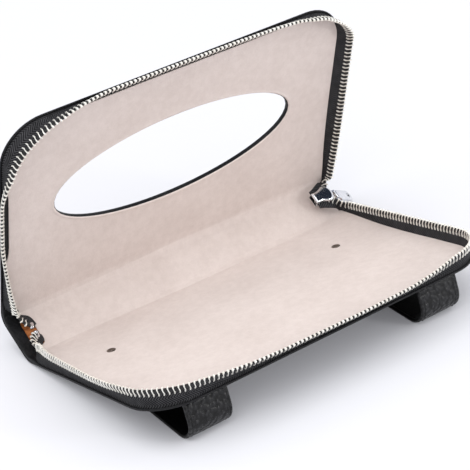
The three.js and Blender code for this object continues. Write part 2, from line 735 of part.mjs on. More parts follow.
function addBase(base) {
  const holes = studPlaces();
  const postHoles = holes.map(([x, y]) => circle(x, y, studStemRadius + layerGap));
  const headHoles = holes.map(([x, y]) => circle(x, y, studHeadRadius + layerGap));
  const drills = postHoles.map((hole) => slab(hole, 2 * leatherBottom, 0));
  const edge = panelEdge(baseTapeStart, baseTapeEnd);
  place(base, 'base_leather', cut(panelLeather(-1), ...drills), blackLeather);
  place(base, 'base_board', panelFill(-1, boardBottom, boardTop, postHoles), greyBoard);
  place(base, 'base_lining', panelFill(-1, liningBottom, 0, headHoles), suede);
  place(base, 'zip_tape_base', panelTape(-1, baseLean, edge), blackTape);
  place(base, 'zip_teeth_base', panelTeeth(-1, baseLean, edge), paleNickel);
}

function addStraps(base) {
  for (const [label, end] of [['left', -1], ['right', 1]]) {
    const strap = frame(base, end * strapSpread, 0, 0, 0);
    const stud = frame(base, end * strapSpread + studShift(end), -studSetback, 0, 0);
    place(stud, `stud_post_${label}`, studPost(), gunmetal);
    place(stud, `stud_nose_${label}`, studNose(), gunmetal);
    place(stud, `stud_socket_${label}`, studSocket(), gunmetal);
    place(stud, `stud_cap_${label}`, studCap(), gunmetal);
    place(strap, `strap_anchor_${label}`, strapAnchor(), blackLeather);
    place(strap, `strap_loop_${label}`, strapLoop(studShift(end)), blackLeather);
  }
}

function addSpine(spine) {
  place(spine, 'spine_leather', spineLeather(), blackLeather);
  const boardInset = edgeTurn + layerGap;
  place(spine, 'spine_board', spineStrip(boardInset, boardInset, boardBottom, boardTop), orangeBoard);
  place(spine, 'spine_lining', spineStrip(spineLiningInset, fillInset, liningBottom, 0), suede);
  for (const [label, end] of [['left', -1], ['right', 1]]) {
    for (const [level, upper] of [['lower', false], ['upper', true]]) {
      const [sewn, beaded] = tailCurves(end, upper);
      place(spine, `tape_tail_${label}_${level}`, tailTape(sewn, beaded), blackTape);
      place(spine, `teeth_tail_${label}_${level}`, toothRow(tailFrame(sewn, beaded)), paleNickel);
    }
  }
  place(spine, 'top_stop_lower', topStop(false), brightNickel);
  place(spine, 'top_stop_upper', topStop(true), brightNickel);
  place(spine, 'slider_body', sliderBody(), brightNickel);
}

function addPull(spine) {
  const pivot = new THREE.Group();
  pivot.position.set(halfWidth - bailPivotInset, spineMiddle, bailLevel);
  pivot.rotation.y = rad(bailDroop);
  spine.add(pivot);
  place(pivot, 'pull_bail', bail(), brightNickel);
  const hang = new THREE.Group();
  hang.position.x = bailLength;
  hang.rotation.y = rad(tabDroop);
  pivot.add(hang);
  place(hang, 'pull_tab', pullTab(), brightNickel);
}

function addCover(cover) {
  const opening = (grow) => ellipse(openingLength, openingHeight, openingSetback, grow);
  const ring = slab(opening(edgeTurn), leatherBottom, boardTop);
  const hole = slab(opening(0), 2 * leatherBottom, -2 * leatherBottom);
  const edge = panelEdge(baseTapeStart, baseTapeEnd);
  place(cover, 'cover_leather', cut(join(panelLeather(1), ring), hole), blackLeather);
  place(cover, 'cover_board', panelFill(1, boardBottom, boardTop, [opening(edgeTurn + layerGap)]), greyBoard);
  place(cover, 'cover_lining', panelFill(1, liningBottom, 0, [opening(0)]), suede);
  place(cover, 'zip_tape_cover', panelTape(1, coverLean, edge), blackTape);
  place(cover, 'zip_teeth_cover', panelTeeth(1, coverLean, edge), paleNickel);
}

const holder = new THREE.Group();
holder.name = 'tissue_case';
const base = frame(holder, 0, 0, 0, -baseTilt);
const spine = frame(base, 0, 0, 0, rad(spineOpening));
const cover = frame(spine, 0, spineWidth, 0, rad(coverOpening));
addBase(base);
addStraps(base);
addSpine(spine);
addPull(spine);
addCover(cover);

// Stand the case with the middle of its outer box over the origin
holder.updateMatrixWorld(true);
const box = new THREE.Box3().setFromObject(holder, true);
holder.position.set(-(box.min.x + box.max.x) / 2, -(box.min.y + box.max.y) / 2, -box.min.z);

export default holder;
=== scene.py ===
import bpy
import bmesh
import json
import math
import numpy as np
from mathutils import Matrix, Vector


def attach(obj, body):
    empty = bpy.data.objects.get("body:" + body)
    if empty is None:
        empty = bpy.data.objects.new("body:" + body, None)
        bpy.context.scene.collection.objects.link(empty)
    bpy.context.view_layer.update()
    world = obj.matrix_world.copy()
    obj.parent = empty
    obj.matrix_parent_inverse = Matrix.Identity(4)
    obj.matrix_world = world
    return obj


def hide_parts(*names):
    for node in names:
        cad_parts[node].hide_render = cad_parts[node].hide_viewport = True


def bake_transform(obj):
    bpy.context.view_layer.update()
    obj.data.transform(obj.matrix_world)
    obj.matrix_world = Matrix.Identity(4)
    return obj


# Zip-around tissue case: the looks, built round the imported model. Blender's lengths are in metres, as are
# those of the camera and the studio. The pieces' dictionaries are in millimetres and degrees, and mm turns
# them into metres when a mesh is made.
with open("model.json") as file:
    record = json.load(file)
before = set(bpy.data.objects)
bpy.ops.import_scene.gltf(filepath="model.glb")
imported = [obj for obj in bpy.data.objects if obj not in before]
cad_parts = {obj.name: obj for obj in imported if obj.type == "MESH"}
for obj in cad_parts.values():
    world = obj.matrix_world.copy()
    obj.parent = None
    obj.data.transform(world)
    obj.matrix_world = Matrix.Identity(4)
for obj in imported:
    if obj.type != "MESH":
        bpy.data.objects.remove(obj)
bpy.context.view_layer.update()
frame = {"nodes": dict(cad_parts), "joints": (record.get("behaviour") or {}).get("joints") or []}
mm = 0.001
print("case loaded,", len(frame["nodes"]), "nodes")

panel = {"width": 235, "depth": 140, "corner": 27, "spine": 28}
half = panel["width"] / 2
middle = panel["spine"] / 2


# camera, set back from the fold between base and spine
cameraView = {"offset": (-0.52655, -0.86230, 0.58471), "right": (0.80275, -0.58769, -0.10106),
              "up": (0.35744, 0.33856, 0.87041), "back": (-0.47732, -0.73484, 0.48184),
              "lens": 148.07, "sensor": 36}


def jointFacts(name):
    return [joint for joint in frame["joints"] if joint["name"] == name][0]


def jointPlace(name):
    return Vector(jointFacts(name)["pos_m"])


def makeCamera():
    # the camera's own right, up and back directions are the columns of its turn
    data = bpy.data.cameras.new("caseCamera")
    data.lens, data.sensor_width = cameraView["lens"], cameraView["sensor"]
    camera = bpy.data.objects.new("caseCamera", data)
    turn = Matrix([cameraView[side] for side in ("right", "up", "back")]).transposed().to_4x4()
    place = jointPlace("spine_fold") + Vector(cameraView["offset"])
    camera.matrix_world = Matrix.Translation(place) @ turn
    bpy.context.scene.collection.objects.link(camera)
    bpy.context.scene.camera = camera


class PaintNodes:
    # short ways to add and join the shader nodes of one material or of the sky
    def __init__(self, owner):
        owner.use_nodes = True
        self.owner, self.tree = owner, owner.node_tree
        self.shader = self.tree.nodes.get("Principled BSDF")

    def add(self, kind, **settings):
        node = self.tree.nodes.new("ShaderNode" + kind)
        for name, value in settings.items():
            setattr(node, name, value)
        return node

    def feed(self, socket, value):
        # a socket takes another node's output or a plain value
        if isinstance(value, bpy.types.NodeSocket):
            self.tree.links.new(value, socket)
        else:
            socket.default_value = value

    def math(self, kind, *values):
        node = self.add("Math", operation=kind)
        for socket, value in zip(node.inputs, values):
            self.feed(socket, value)
        return node.outputs[0]

    def range(self, value, source, target):
        node = self.add("MapRange")
        for name, number in zip(("From Min", "From Max", "To Min", "To Max"), (*source, *target)):
            node.inputs[name].default_value = number
        self.feed(node.inputs["Value"], value)
        return node.outputs["Result"]

    def mix(self, share, first, second):
        node = self.add("Mix", data_type="RGBA")
        self.feed(node.inputs[0], share)
        node.inputs[6].default_value, node.inputs[7].default_value = (*first, 1), (*second, 1)
        return node.outputs[2]

    def rays(self, *kinds):
        # 1 for a ray of any of these kinds
        path = self.add("LightPath")
        total = path.outputs[f"Is {kinds[0]} Ray"]
        for kind in kinds[1:]:
            total = self.math("MAXIMUM", total, path.outputs[f"Is {kind} Ray"])
        return total

    def point(self, stretch=(1, 1, 1)):
        mapping = self.add("Mapping")
        mapping.inputs["Scale"].default_value = stretch
        self.feed(mapping.inputs["Vector"], self.add("TexCoord").outputs["Object"])
        return mapping.outputs["Vector"]

    def noise(self, point, scale, detail):
        node = self.add("TexNoise")
        node.inputs["Scale"].default_value, node.inputs["Detail"].default_value = scale, detail
        self.feed(node.inputs["Vector"], point)
        return node.outputs["Fac"]

    def bump(self, height, strength, depth):
        node = self.add("Bump")
        node.inputs["Strength"].default_value, node.inputs["Distance"].default_value = strength, depth * mm
        self.feed(node.inputs["Height"], height)
        self.surface({"Normal": node.outputs["Normal"]})

    def surface(self, values):
        # the shader's own sockets
        for name, value in values.items():
            self.feed(self.shader.inputs[name], value)


# studio: white floor, soft lamps and a pale sky whose upper part is dark in reflections
studio = {"floorSize": 8.0, "floorColour": (0.675, 0.68, 0.71, 1), "floorGlow": (0.93, 0.93, 1.0, 1),
          "glow": (0.1, 0.24), "glowReach": (0.2, 1.0), "skyColour": (0.985, 0.985, 1.0),
          "skyTop": (0.45, 0.62, 1.0), "skySeen": 1.0, "skyLight": 0.92, "topHeights": (0.45, 0.75),
          "gloss": (0.8, 0.035), "aim": (0, 0, 0.05),
          "lamps": {"key": ((-0.55, -0.2, 1.4), 1.4, 13.0), "fill": ((1.1, -0.9, 0.5), 1.1, 3.6),
                    "spark": ((0.55, -1.0, 0.5), 0.15, 2.2)}}


def makeSky():
    # seen at full strength, lighting a little less, and in reflections darker and bluer towards the top
    nodes = PaintNodes(bpy.data.worlds.new("paleSky"))
    split = nodes.add("SeparateXYZ")
    nodes.feed(split.inputs[0], nodes.add("TexCoord").outputs["Generated"])
    height, mirrored, light = split.outputs["Z"], nodes.rays("Glossy"), studio["skyLight"]
    gloss = nodes.range(height, studio["topHeights"], studio["gloss"])
    plain = nodes.math("MULTIPLY_ADD", nodes.rays("Camera", "Transmission"), studio["skySeen"] - light, light)
    extra = nodes.math("SUBTRACT", gloss, light)
    high = nodes.math("MULTIPLY", nodes.range(height, studio["topHeights"], (0, 1)), mirrored)
    back = nodes.tree.nodes["Background"]
    nodes.feed(back.inputs["Strength"], nodes.math("MULTIPLY_ADD", mirrored, extra, plain))
    nodes.feed(back.inputs["Color"], nodes.mix(high, studio["skyColour"], studio["skyTop"]))
    bpy.context.scene.world = nodes.owner


def floorPaint():
    # white board that the camera sees a little brighter than it is lit, so its shadow stays soft
    nodes = PaintNodes(bpy.data.materials.new("floorPaint"))
    away = nodes.add("VectorMath", operation="LENGTH")
    nodes.feed(away.inputs[0], nodes.add("TexCoord").outputs["Object"])
    glow = nodes.range(away.outputs["Value"], studio["glowReach"], studio["glow"])
    seen = nodes.rays("Camera", "Glossy", "Transmission")
    nodes.surface({"Base Color": studio["floorColour"], "Roughness": 0.9, "Specular IOR Level": 0,
                   "Emission Color": studio["floorGlow"],
                   "Emission Strength": nodes.math("MULTIPLY", seen, glow)})
    return nodes.owner


def makeFloor():
    # one square, which isn't part of the case
    edge = studio["floorSize"] / 2
    mesh = bpy.data.meshes.new("floor")
    corners = [(-edge, -edge, 0), (edge, -edge, 0), (edge, edge, 0), (-edge, edge, 0)]
    mesh.from_pydata(corners, [], [(0, 1, 2, 3)])
    mesh.materials.append(floorPaint())
    floor = bpy.data.objects.new("floor", mesh)
    bpy.context.scene.collection.objects.link(floor)


def makeLamps():
    # square lamps, each turned towards the case
    for name, (place, size, power) in studio["lamps"].items():
        lamp = bpy.data.lights.new(name, "AREA")
        lamp.size, lamp.energy = size, power
        holder = bpy.data.objects.new(name, lamp)
        holder.location, holder.rotation_mode = place, "QUATERNION"
        holder.rotation_quaternion = (Vector(studio["aim"]) - Vector(place)).to_track_quat("-Z", "Y")
        bpy.context.scene.collection.objects.link(holder)


makeCamera()
makeSky()
makeFloor()
makeLamps()
bpy.context.scene.view_settings.view_transform = "Standard"
print("camera and studio ready")


# finishes
suede = {"light": (0.72, 0.64, 0.605), "dark": (0.60, 0.52, 0.485), "blotch": 38, "fibre": 900,
         "shares": {"mottle": 0.3, "blotch": 0.38, "fibre": 0.42}, "mottleRise": 0.6,
         "fuzz": 0.2, "fuzzTint": (1.0, 0.93, 0.9, 1), "depth": 0.16}


def suedePaint(name, recipe):
    # wide soft blotches of brushed nap, finer mottling, and short fibres over both
    nodes = PaintNodes(bpy.data.materials.new(name))
    point, shares = nodes.point(), recipe["shares"]
    blotch = nodes.range(nodes.noise(point, recipe["blotch"], 4), (0.3, 0.7), (0, 1))
    fibre = nodes.noise(point, recipe["fibre"], 3)
    mottle = nodes.range(nodes.noise(point, recipe["fibre"] / 4, 3), (0.35, 0.65), (0, 1))
    share = nodes.math("MULTIPLY", blotch, shares["blotch"])
    share = nodes.math("MULTIPLY_ADD", mottle, shares["mottle"], share)
    share = nodes.math("MULTIPLY_ADD", fibre, shares["fibre"], share)
    nodes.surface({"Base Color": nodes.mix(share, recipe["light"], recipe["dark"]), "Roughness": 0.95,
                   "Specular IOR Level": 0.15, "Sheen Weight": recipe["fuzz"], "Sheen Roughness": 0.5,
                   "Sheen Tint": recipe["fuzzTint"]})
    nodes.bump(nodes.math("MULTIPLY_ADD", mottle, recipe["mottleRise"], fibre), 0.5, recipe["depth"])
    return nodes.owner


# per leather: its own dark colour, a lighter crest colour painted on each pebble's top as a highlight, grain
# size, bump depth, roughness and gloss
leathers = {"leather": {"colour": (0.006, 0.006, 0.007), "paintedHighlight": (0.014, 0.014, 0.016), "grain": 900,
                        "depth": 0.1, "rough": (0.4, 0.6), "gloss": 0.22},
            "strap": {"colour": (0.0005, 0.0005, 0.0006), "paintedHighlight": (0.022, 0.022, 0.024), "grain": 430,
                      "depth": 0.6, "rough": (0.22, 0.4), "gloss": 0.3},
            "strapBack": {"colour": (0.0015, 0.0015, 0.0018), "paintedHighlight": (0.004, 0.004, 0.0045), "grain": 700,
                          "depth": 0.06, "rough": (0.4, 0.55), "gloss": 0.2}}


def leatherPaint(name, recipe):
    # pebbled grain: rounded cells of uneven size and shine, painted lighter on their tops as a highlight so
    # that the creases between them read as dark shade
    nodes = PaintNodes(bpy.data.materials.new(name))
    point = nodes.point()
    turbulence = nodes.add("TexNoise")
    turbulence.inputs["Scale"].default_value = recipe["grain"] * 0.8
    nodes.feed(turbulence.inputs["Vector"], point)
    wander = nodes.add("VectorMath", operation="MULTIPLY_ADD")
    for socket, value in zip(wander.inputs, (turbulence.outputs["Color"], (0.8 * mm,) * 3, point)):
        nodes.feed(socket, value)
    cells = nodes.add("TexVoronoi", feature="SMOOTH_F1")
    cells.inputs["Scale"].default_value, cells.inputs["Smoothness"].default_value = recipe["grain"], 0.9
    nodes.feed(cells.inputs["Vector"], wander.outputs[0])
    pebble = nodes.range(cells.outputs["Distance"], (0, 0.6), (1, 0))
    fine = nodes.noise(point, recipe["grain"] * 3, 3)
    patch = nodes.math("MULTIPLY", nodes.noise(point, 45, 3), 0.6)
    shine = nodes.math("MULTIPLY_ADD", fine, 0.4, patch)
    # the pebbles' tops take the painted highlight colour; the creases keep the leather's dark colour and read
    # as painted shade
    nodes.surface({"Base Color": nodes.mix(pebble, recipe["colour"], recipe["paintedHighlight"]),
                   "Roughness": nodes.range(shine, (0.3, 0.7), recipe["rough"]),
                   "Specular IOR Level": recipe["gloss"]})
    nodes.bump(nodes.math("MULTIPLY_ADD", fine, 0.25, pebble), 0.9, recipe["depth"])
    return nodes.owner


weave = {"dark": (0.003, 0.003, 0.0035), "light": (0.075, 0.075, 0.08), "column": 3.4, "rib": 1.6,
         "depth": 0.22}


def weavePaint(name, recipe):
    # herringbone: diagonal ribs that turn back at each column; the piece's own map counts millimetres
    nodes = PaintNodes(bpy.data.materials.new(name))
    spot = nodes.add("SeparateXYZ")
    nodes.feed(spot.inputs[0], nodes.add("TexCoord").outputs["UV"])
    zigzag = nodes.math("PINGPONG", spot.outputs["Y"], recipe["column"])
    phase = nodes.math("ADD", spot.outputs["X"], zigzag)
    rib = nodes.math("SINE", nodes.math("MULTIPLY", phase, 2 * math.pi / recipe["rib"]))
    rib = nodes.math("MULTIPLY_ADD", rib, 0.5, 0.5)
    lint = nodes.range(nodes.noise(nodes.point(), 260, 3), (0.3, 0.7), (0.55, 1))
    share = nodes.math("MULTIPLY", rib, lint)
    nodes.surface({"Base Color": nodes.mix(share, recipe["dark"], recipe["light"]), "Roughness": 0.72,
                   "Specular IOR Level": 0.12})
    nodes.bump(rib, 0.8, recipe["depth"])
    return nodes.owner


metals = {"toothMetal": {"clean": (0.96, 0.94, 0.88), "dull": (0.84, 0.81, 0.73), "rough": (0.24, 0.34),
                         "metallic": 0.4, "marks": 0.01},
          "brightMetal": {"clean": (0.83, 0.84, 0.86), "dull": (0.66, 0.67, 0.7), "rough": (0.08, 0.2),
                          "metallic": 1.0, "marks": 0.08},
          "studMetal": {"clean": (0.24, 0.2, 0.17), "dull": (0.1, 0.08, 0.07), "rough": (0.28, 0.45),
                        "metallic": 1.0, "marks": 0.1}}


def metalPaint(name, recipe):
    # plated metal with faint cloudy tarnish and fine rubbing marks
    nodes = PaintNodes(bpy.data.materials.new(name))
    cloud = nodes.range(nodes.noise(nodes.point(), 160, 4), (0.42, 0.72), (0, 1))
    rubbed = nodes.noise(nodes.point((1, 1, 2)), 700, 2)
    nodes.surface({"Base Color": nodes.mix(cloud, recipe["clean"], recipe["dull"]),
                   "Roughness": nodes.range(rubbed, (0.3, 0.7), recipe["rough"]),
                   "Metallic": recipe["metallic"]})
    nodes.bump(rubbed, recipe["marks"], 0.03)
    return nodes.owner


# two tones, the stretch and size of the streaks between them, roughness, and the bump's strength and depth
streaked = {"orangeBoard": ((0.50, 0.17, 0.045), (0.33, 0.1, 0.025), (0.35, 1, 1), 700, 4, 0.85, 0.4, 0.1),
            "darkBoard": ((0.012, 0.011, 0.011), (0.006, 0.006, 0.006), (0.35, 1, 1), 700, 4, 0.85, 0.4, 0.1),
            "thread": ((0.022, 0.022, 0.024), (0.008, 0.008, 0.009), (1, 1, 1), 1500, 2, 0.5, 0.6, 0.08),
            # the cord is near-black so that where it shows between the teeth it stands in as painted shade
            "cord": ((0.006, 0.006, 0.0065), (0.002, 0.002, 0.0022), (1, 1, 1), 1500, 2, 0.5, 0.6, 0.08)}


def streakedPaint(name, recipe):
    # pressed fibre or twisted thread: short streaks of two tones
    first, second, stretch, size, detail, rough, strength, depth = recipe
    nodes = PaintNodes(bpy.data.materials.new(name))
    streak = nodes.noise(nodes.point(stretch), size, detail)
    share = nodes.range(streak, (0.35, 0.65), (0, 1))
    nodes.surface({"Base Color": nodes.mix(share, first, second), "Roughness": rough})
    nodes.bump(streak, strength, depth)
    return nodes.owner


paints = {"suede": suedePaint("suedeNap", suede), "weave": weavePaint("tapeWeave", weave)}
for make, recipes in ((leatherPaint, leathers), (metalPaint, metals), (streakedPaint, streaked)):
    paints.update({name: make(name, recipe) for name, recipe in recipes.items()})
print("finishes ready,", len(paints))


# shared mesh tools
foldBase, foldCover = (np.array(jointPlace(name)) for name in ("spine_fold", "cover_fold"))
spineAngle = math.atan2(foldCover[2] - foldBase[2], foldCover[1] - foldBase[1])
baseAngle = spineAngle + math.radians(min(jointFacts("spine_fold")["range_deg"]))
coverAngle = spineAngle - math.radians(min(jointFacts("cover_fold")["range_deg"]))
bodies = {"base": (foldBase, baseAngle), "spine": (foldBase, spineAngle), "cover": (foldCover, coverAngle)}
roundings = {"base": 8.0, "cover": 6.0}


def asPoints(*columns):
    # arrays that fit one another, side by side along a new last axis
    return np.stack(np.broadcast_arrays(*columns), axis=-1)


def turned(angle, run, level):
    # a step along the slope and one along its normal, as steps back and up
    return run * math.cos(angle) - level * math.sin(angle), run * math.sin(angle) + level * math.cos(angle)


def placed(body, x, run, level):
    # the body's corner plus x across, the run along its slope and the level along its normal
    origin, angle = bodies[body]
    return origin + asPoints(x, *turned(angle, run, level)) * mm


def bentSheet(upper, x, away, level):
    # straight along the panel, a round corner across its fold, straight along the spine: the place is the
    # fold plus the straight runs on both sides, plus the arc's chord, plus the level along the local normal
    fold = foldCover if upper else foldBase
    heading, final = (spineAngle, coverAngle) if upper else (baseAngle, spineAngle)
    radius = roundings["cover" if upper else "base"]
    run = away if upper else -away
    turn = final - heading
    reach = radius * math.tan(turn / 2)
    angle = heading + turn * np.clip((run + reach) / (2 * reach), 0, 1)
    before, after = np.minimum(run + reach, 0) - reach, np.maximum(run - reach, 0)
    y = before * math.cos(heading) + after * math.cos(final) + radius * (np.sin(angle) - math.sin(heading))
    z = before * math.sin(heading) + after * math.sin(final) + radius * (math.cos(heading) - np.cos(angle))
    return fold + asPoints(x, y - level * np.sin(angle), z + level * np.cos(angle)) * mm


def gridFaces(rows, columns, closed=False):
    # quads of a grid counted row by row; closed joins the last column to the first
    row = np.arange(rows - 1)[:, None] * columns
    column = np.arange(columns if closed else columns - 1)[None, :]
    beside = (column + 1) % columns
    corners = [row + column, row + beside, row + columns + beside, row + columns + column]
    return np.stack(corners, axis=-1).reshape(-1, 4)


def tubeFaces(rings, sides):
    # a closed grid with a flat face over its first and its last ring
    ends = [list(range(start, start + sides)) for start in (0, (rings - 1) * sides)]
    return gridFaces(rings, sides, closed=True).tolist() + ends


def joined(parts):
    # separate skins as one list of points and one of faces
    starts = np.cumsum([0] + [len(points) for points, _ in parts])
    faces = [[v + int(start) for v in face] for (_, own), start in zip(parts, starts) for face in own]
    return np.concatenate([points for points, _ in parts]), faces


def makePiece(name, points, faces, paint, spread=None, picks=None, sharp=40):
    # mesh from arrays; spread is the map of the points, and picks the number of each face's paint
    mesh = bpy.data.meshes.new(name)
    mesh.from_pydata(points.reshape(-1, 3).tolist(), [], [list(map(int, face)) for face in faces])
    for each in paint if isinstance(paint, list) else [paint]:
        mesh.materials.append(paints[each])
    if picks is not None:
        mesh.polygons.foreach_set("material_index", np.asarray(picks, dtype=np.int32))
    if spread is not None:
        layer = mesh.uv_layers.new(name="surface")
        corners = np.empty(len(mesh.loops), dtype=np.int32)
        mesh.loops.foreach_get("vertex_index", corners)
        layer.data.foreach_set("uv", np.asarray(spread, dtype=np.float32)[corners].ravel())
    work = bmesh.new()
    work.from_mesh(mesh)
    bmesh.ops.recalc_face_normals(work, faces=work.faces)
    work.to_mesh(mesh)
    work.free()
    mesh.polygons.foreach_set("use_smooth", np.ones(len(mesh.polygons), dtype=bool))
    mesh.set_sharp_from_angle(angle=math.radians(sharp))
    piece = bpy.data.objects.new(name, mesh)
    bpy.context.scene.collection.objects.link(piece)
    return piece


def declare(piece, nodes=(), body=None):
    # hides the nodes that the piece stands for, and hangs it on the body that carries it
    if nodes:
        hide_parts(*nodes)
    if body:
        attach(piece, body)


def thickened(faces, top, bottom):
    # one pattern laid twice, with a wall along each edge that only one face uses
    count = len(top)
    edges = np.concatenate([faces[:, [i, (i + 1) % 4]] for i in range(4)])
    _, first, uses = np.unique(np.sort(edges, axis=1), axis=0, return_index=True, return_counts=True)
    rim = edges[first[uses == 1]]
    walls = np.stack([rim[:, 1], rim[:, 0], rim[:, 0] + count, rim[:, 1] + count], axis=1)
    return np.concatenate([top, bottom]), np.concatenate([faces, faces[:, ::-1] + count, walls])


def welded(parts):
    # patterns joined into one: equal places become one point, and its faces follow
    flat = np.concatenate([part[0] for part in parts])
    starts = np.cumsum([0] + [len(part[0]) for part in parts])
    faces = np.concatenate([part[1] + start for part, start in zip(parts, starts)])
    _, kept, back = np.unique(np.round(flat[:, :2], 3), axis=0, return_index=True, return_inverse=True)
    return flat[kept], back.ravel()[faces]


def smooth(value, start, end):
    # 0 before the start, 1 after the end, and between them three squares of the share less two cubes
    share = np.clip((value - start) / (end - start), 0, 1)
    return share * share * (3 - 2 * share)


def bell(value, width):
    # 1 at nothing, falling off on both sides by the square of value over width
    return np.exp(-(value / width) ** 2)


def normalised(vectors):
    # each over its own length
    return vectors / np.linalg.norm(vectors, axis=-1, keepdims=True)


def runningLength(line):
    # the chords added up from the first point on
    return np.concatenate([[0], np.cumsum(np.linalg.norm(np.diff(line, axis=0), axis=1))])


def picked(line, lengths, at):
    # places on a line of points at these lengths along it
    return np.stack([np.interp(at, lengths, column) for column in line.T], axis=-1)


def acrossFold(piece):
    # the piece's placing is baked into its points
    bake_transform(piece)


def makeSheet(name, upper, faces, spots, levels, paint, nodes=(), sharp=50):
    # one pattern bent at its upper and at its lower level, and closed by a wall round its edge
    top, bottom = (bentSheet(upper, *spots, level) for level in levels)
    piece = makePiece(name, *thickened(faces, top, bottom), paint, sharp=sharp)
    declare(piece, nodes)
    acrossFold(piece)
    return piece


# patterns of a panel and its half of the spine: x across, and the distance from the fold. Past openFrom the
# cover's pattern runs in rings round its oval opening; the third column is the distance from the oval, and
# far stands for none.
opening = {"length": 166, "height": 59, "setback": 74}
pattern = {"bend": 6, "openFrom": 12, "far": 99.0, "shares": (0.22, 0.36, 0.5, 0.64, 0.78, 0.9, 1)}
bend, openFrom = pattern["bend"], pattern["openFrom"]
cornerAngles = np.linspace(0, math.pi / 2, 13)[1:]
frontShares = np.linspace(-1, 1, 41)
spineSteps = [np.linspace(-middle, -bend, 5), np.linspace(-bend, bend, 17)[1:],
              [(bend + openFrom) / 2, openFrom]]
longSteps = np.linspace(openFrom, panel["depth"] - panel["corner"], 20)[1:]


def panelRows(inset):
    # even rows up the sides, then rows at even turns round the corner
    radius = panel["corner"] - inset
    cornerRows = panel["depth"] - panel["corner"] + radius * np.sin(cornerAngles)
    rows = np.concatenate([*spineSteps, longSteps, cornerRows])
    widths = np.full(len(rows), half - inset)
    widths[-len(cornerAngles):] = half - panel["corner"] + radius * np.cos(cornerAngles)
    return rows, widths


def plainPattern(rows, lefts, rights):
    # each row runs from its left end to its right end in even steps
    shares = (frontShares + 1) / 2
    x = lefts[:, None] + (rights - lefts)[:, None] * shares
    flat = asPoints(x, rows[:, None], pattern["far"]).reshape(-1, 3)
    return flat, gridFaces(len(rows), len(shares))


def frontLine(rows, widths):
    # even steps between the ends of the last row, without those ends
    return np.stack([frontShares * widths[-1], np.full(len(frontShares), rows[-1])], axis=-1)[1:-1]


def openPattern(inset, steps):
    # rings from the oval to the panel's edge, each ray straight out from the oval's middle; the first rings
    # stand at the given steps from the oval
    rows, widths = panelRows(inset)
    upper = rows > openFrom
    right = np.stack([widths[upper], rows[upper]], axis=-1)
    bottom = np.stack([frontShares * (half - inset), np.full(len(frontShares), float(openFrom))], axis=-1)
    outer = np.concatenate([bottom, right, frontLine(rows, widths)[::-1], right[::-1] * (-1, 1)])
    long, short, setback = opening["length"] / 2, opening["height"] / 2, opening["setback"]
    angle = np.arctan2((outer[:, 1] - setback) / short, outer[:, 0] / long)
    inner = np.stack([long * np.cos(angle), setback + short * np.sin(angle)], axis=-1)
    reach = np.linalg.norm(outer - inner, axis=1)
    shares = [step / reach for step in steps] + [np.full(len(outer), share) for share in pattern["shares"]]
    rings = np.stack([inner + (outer - inner) * share[:, None] for share in shares])
    away = np.stack([reach * share for share in shares])
    flat = np.concatenate([rings, away[..., None]], axis=-1).reshape(-1, 3)
    return flat, gridFaces(len(shares), len(outer), closed=True)


def panelPattern(upper, rows, lefts, rights, inset, ovalSteps):
    # the base's pattern is plain; the cover's has plain rows at the fold, then the rings
    if not upper:
        return plainPattern(rows, lefts, rights)
    low = rows <= openFrom
    return welded([plainPattern(rows[low], lefts[low], rights[low]), openPattern(inset, ovalSteps)])


# linings: one suede sheet from the front of the base to the front of the cover, in two pieces that
# meet on the spine, where both follow it
lining = {"inset": 2.0, "leftInset": 15, "leftStep": (-5, -1.5), "thickness": 0.55,
          "ovalSteps": (0.45, 0.7, 1.0, 1.3, 1.6, 1.9, 2.3, 2.8, 3.6),
          "roll": {"rise": 0.5, "place": 1.5, "width": 0.75, "dip": 0.35, "dipWidth": 0.35},
          "ripple": {"height": 0.14, "from": (2, 20), "waves": ((17, 29, 1), (31, -13, 2), (60, 7.5, 0))},
          "crease": {"depth": 0.5, "away": 0.8, "swing": 1.1, "wave": 33, "phase": 1, "width": 0.75,
                     "faint": 0.3, "fade": (-40, 105)},
          "sweep": {"rise": 3.2, "from": 17, "to": 2.5, "reach": 30, "start": -9},
          "short": 1.1, "side": 14,
          "narrow": {"base": (1.5, 16, 40, 98, 112), "cover": (2.6, 40, 52, 92, 106)}}


def liningLevel(flat, phase):
    # a low roll beside the oval that dips to its edge, slow ripples where the glue has pulled, and a crease
    # that wanders along the fold and fades to the right
    x, away, oval = flat.T
    roll, ripple, crease, sweep = (lining[word] for word in ("roll", "ripple", "crease", "sweep"))
    level = roll["rise"] * bell(oval - roll["place"], roll["width"])
    level -= roll["dip"] * bell(oval, roll["dipWidth"])
    waves = sum(np.sin(x / wide + away / deep + turn * phase) for wide, deep, turn in ripple["waves"])
    level += ripple["height"] / 3 * waves * smooth(away, *ripple["from"])
    swing = crease["swing"] * np.sin(x / crease["wave"] + crease["phase"])
    strength = crease["faint"] + (1 - crease["faint"]) * smooth(-x, *crease["fade"])
    level -= crease["depth"] * bell(away - crease["away"] - swing, crease["width"]) * strength
    # the right rear corners curl up to the zip
    curl = smooth(x, half - sweep["from"], half - sweep["to"]) * bell(np.maximum(away, 0), sweep["reach"])
    return level + sweep["rise"] * curl * smooth(away, sweep["start"], 0)


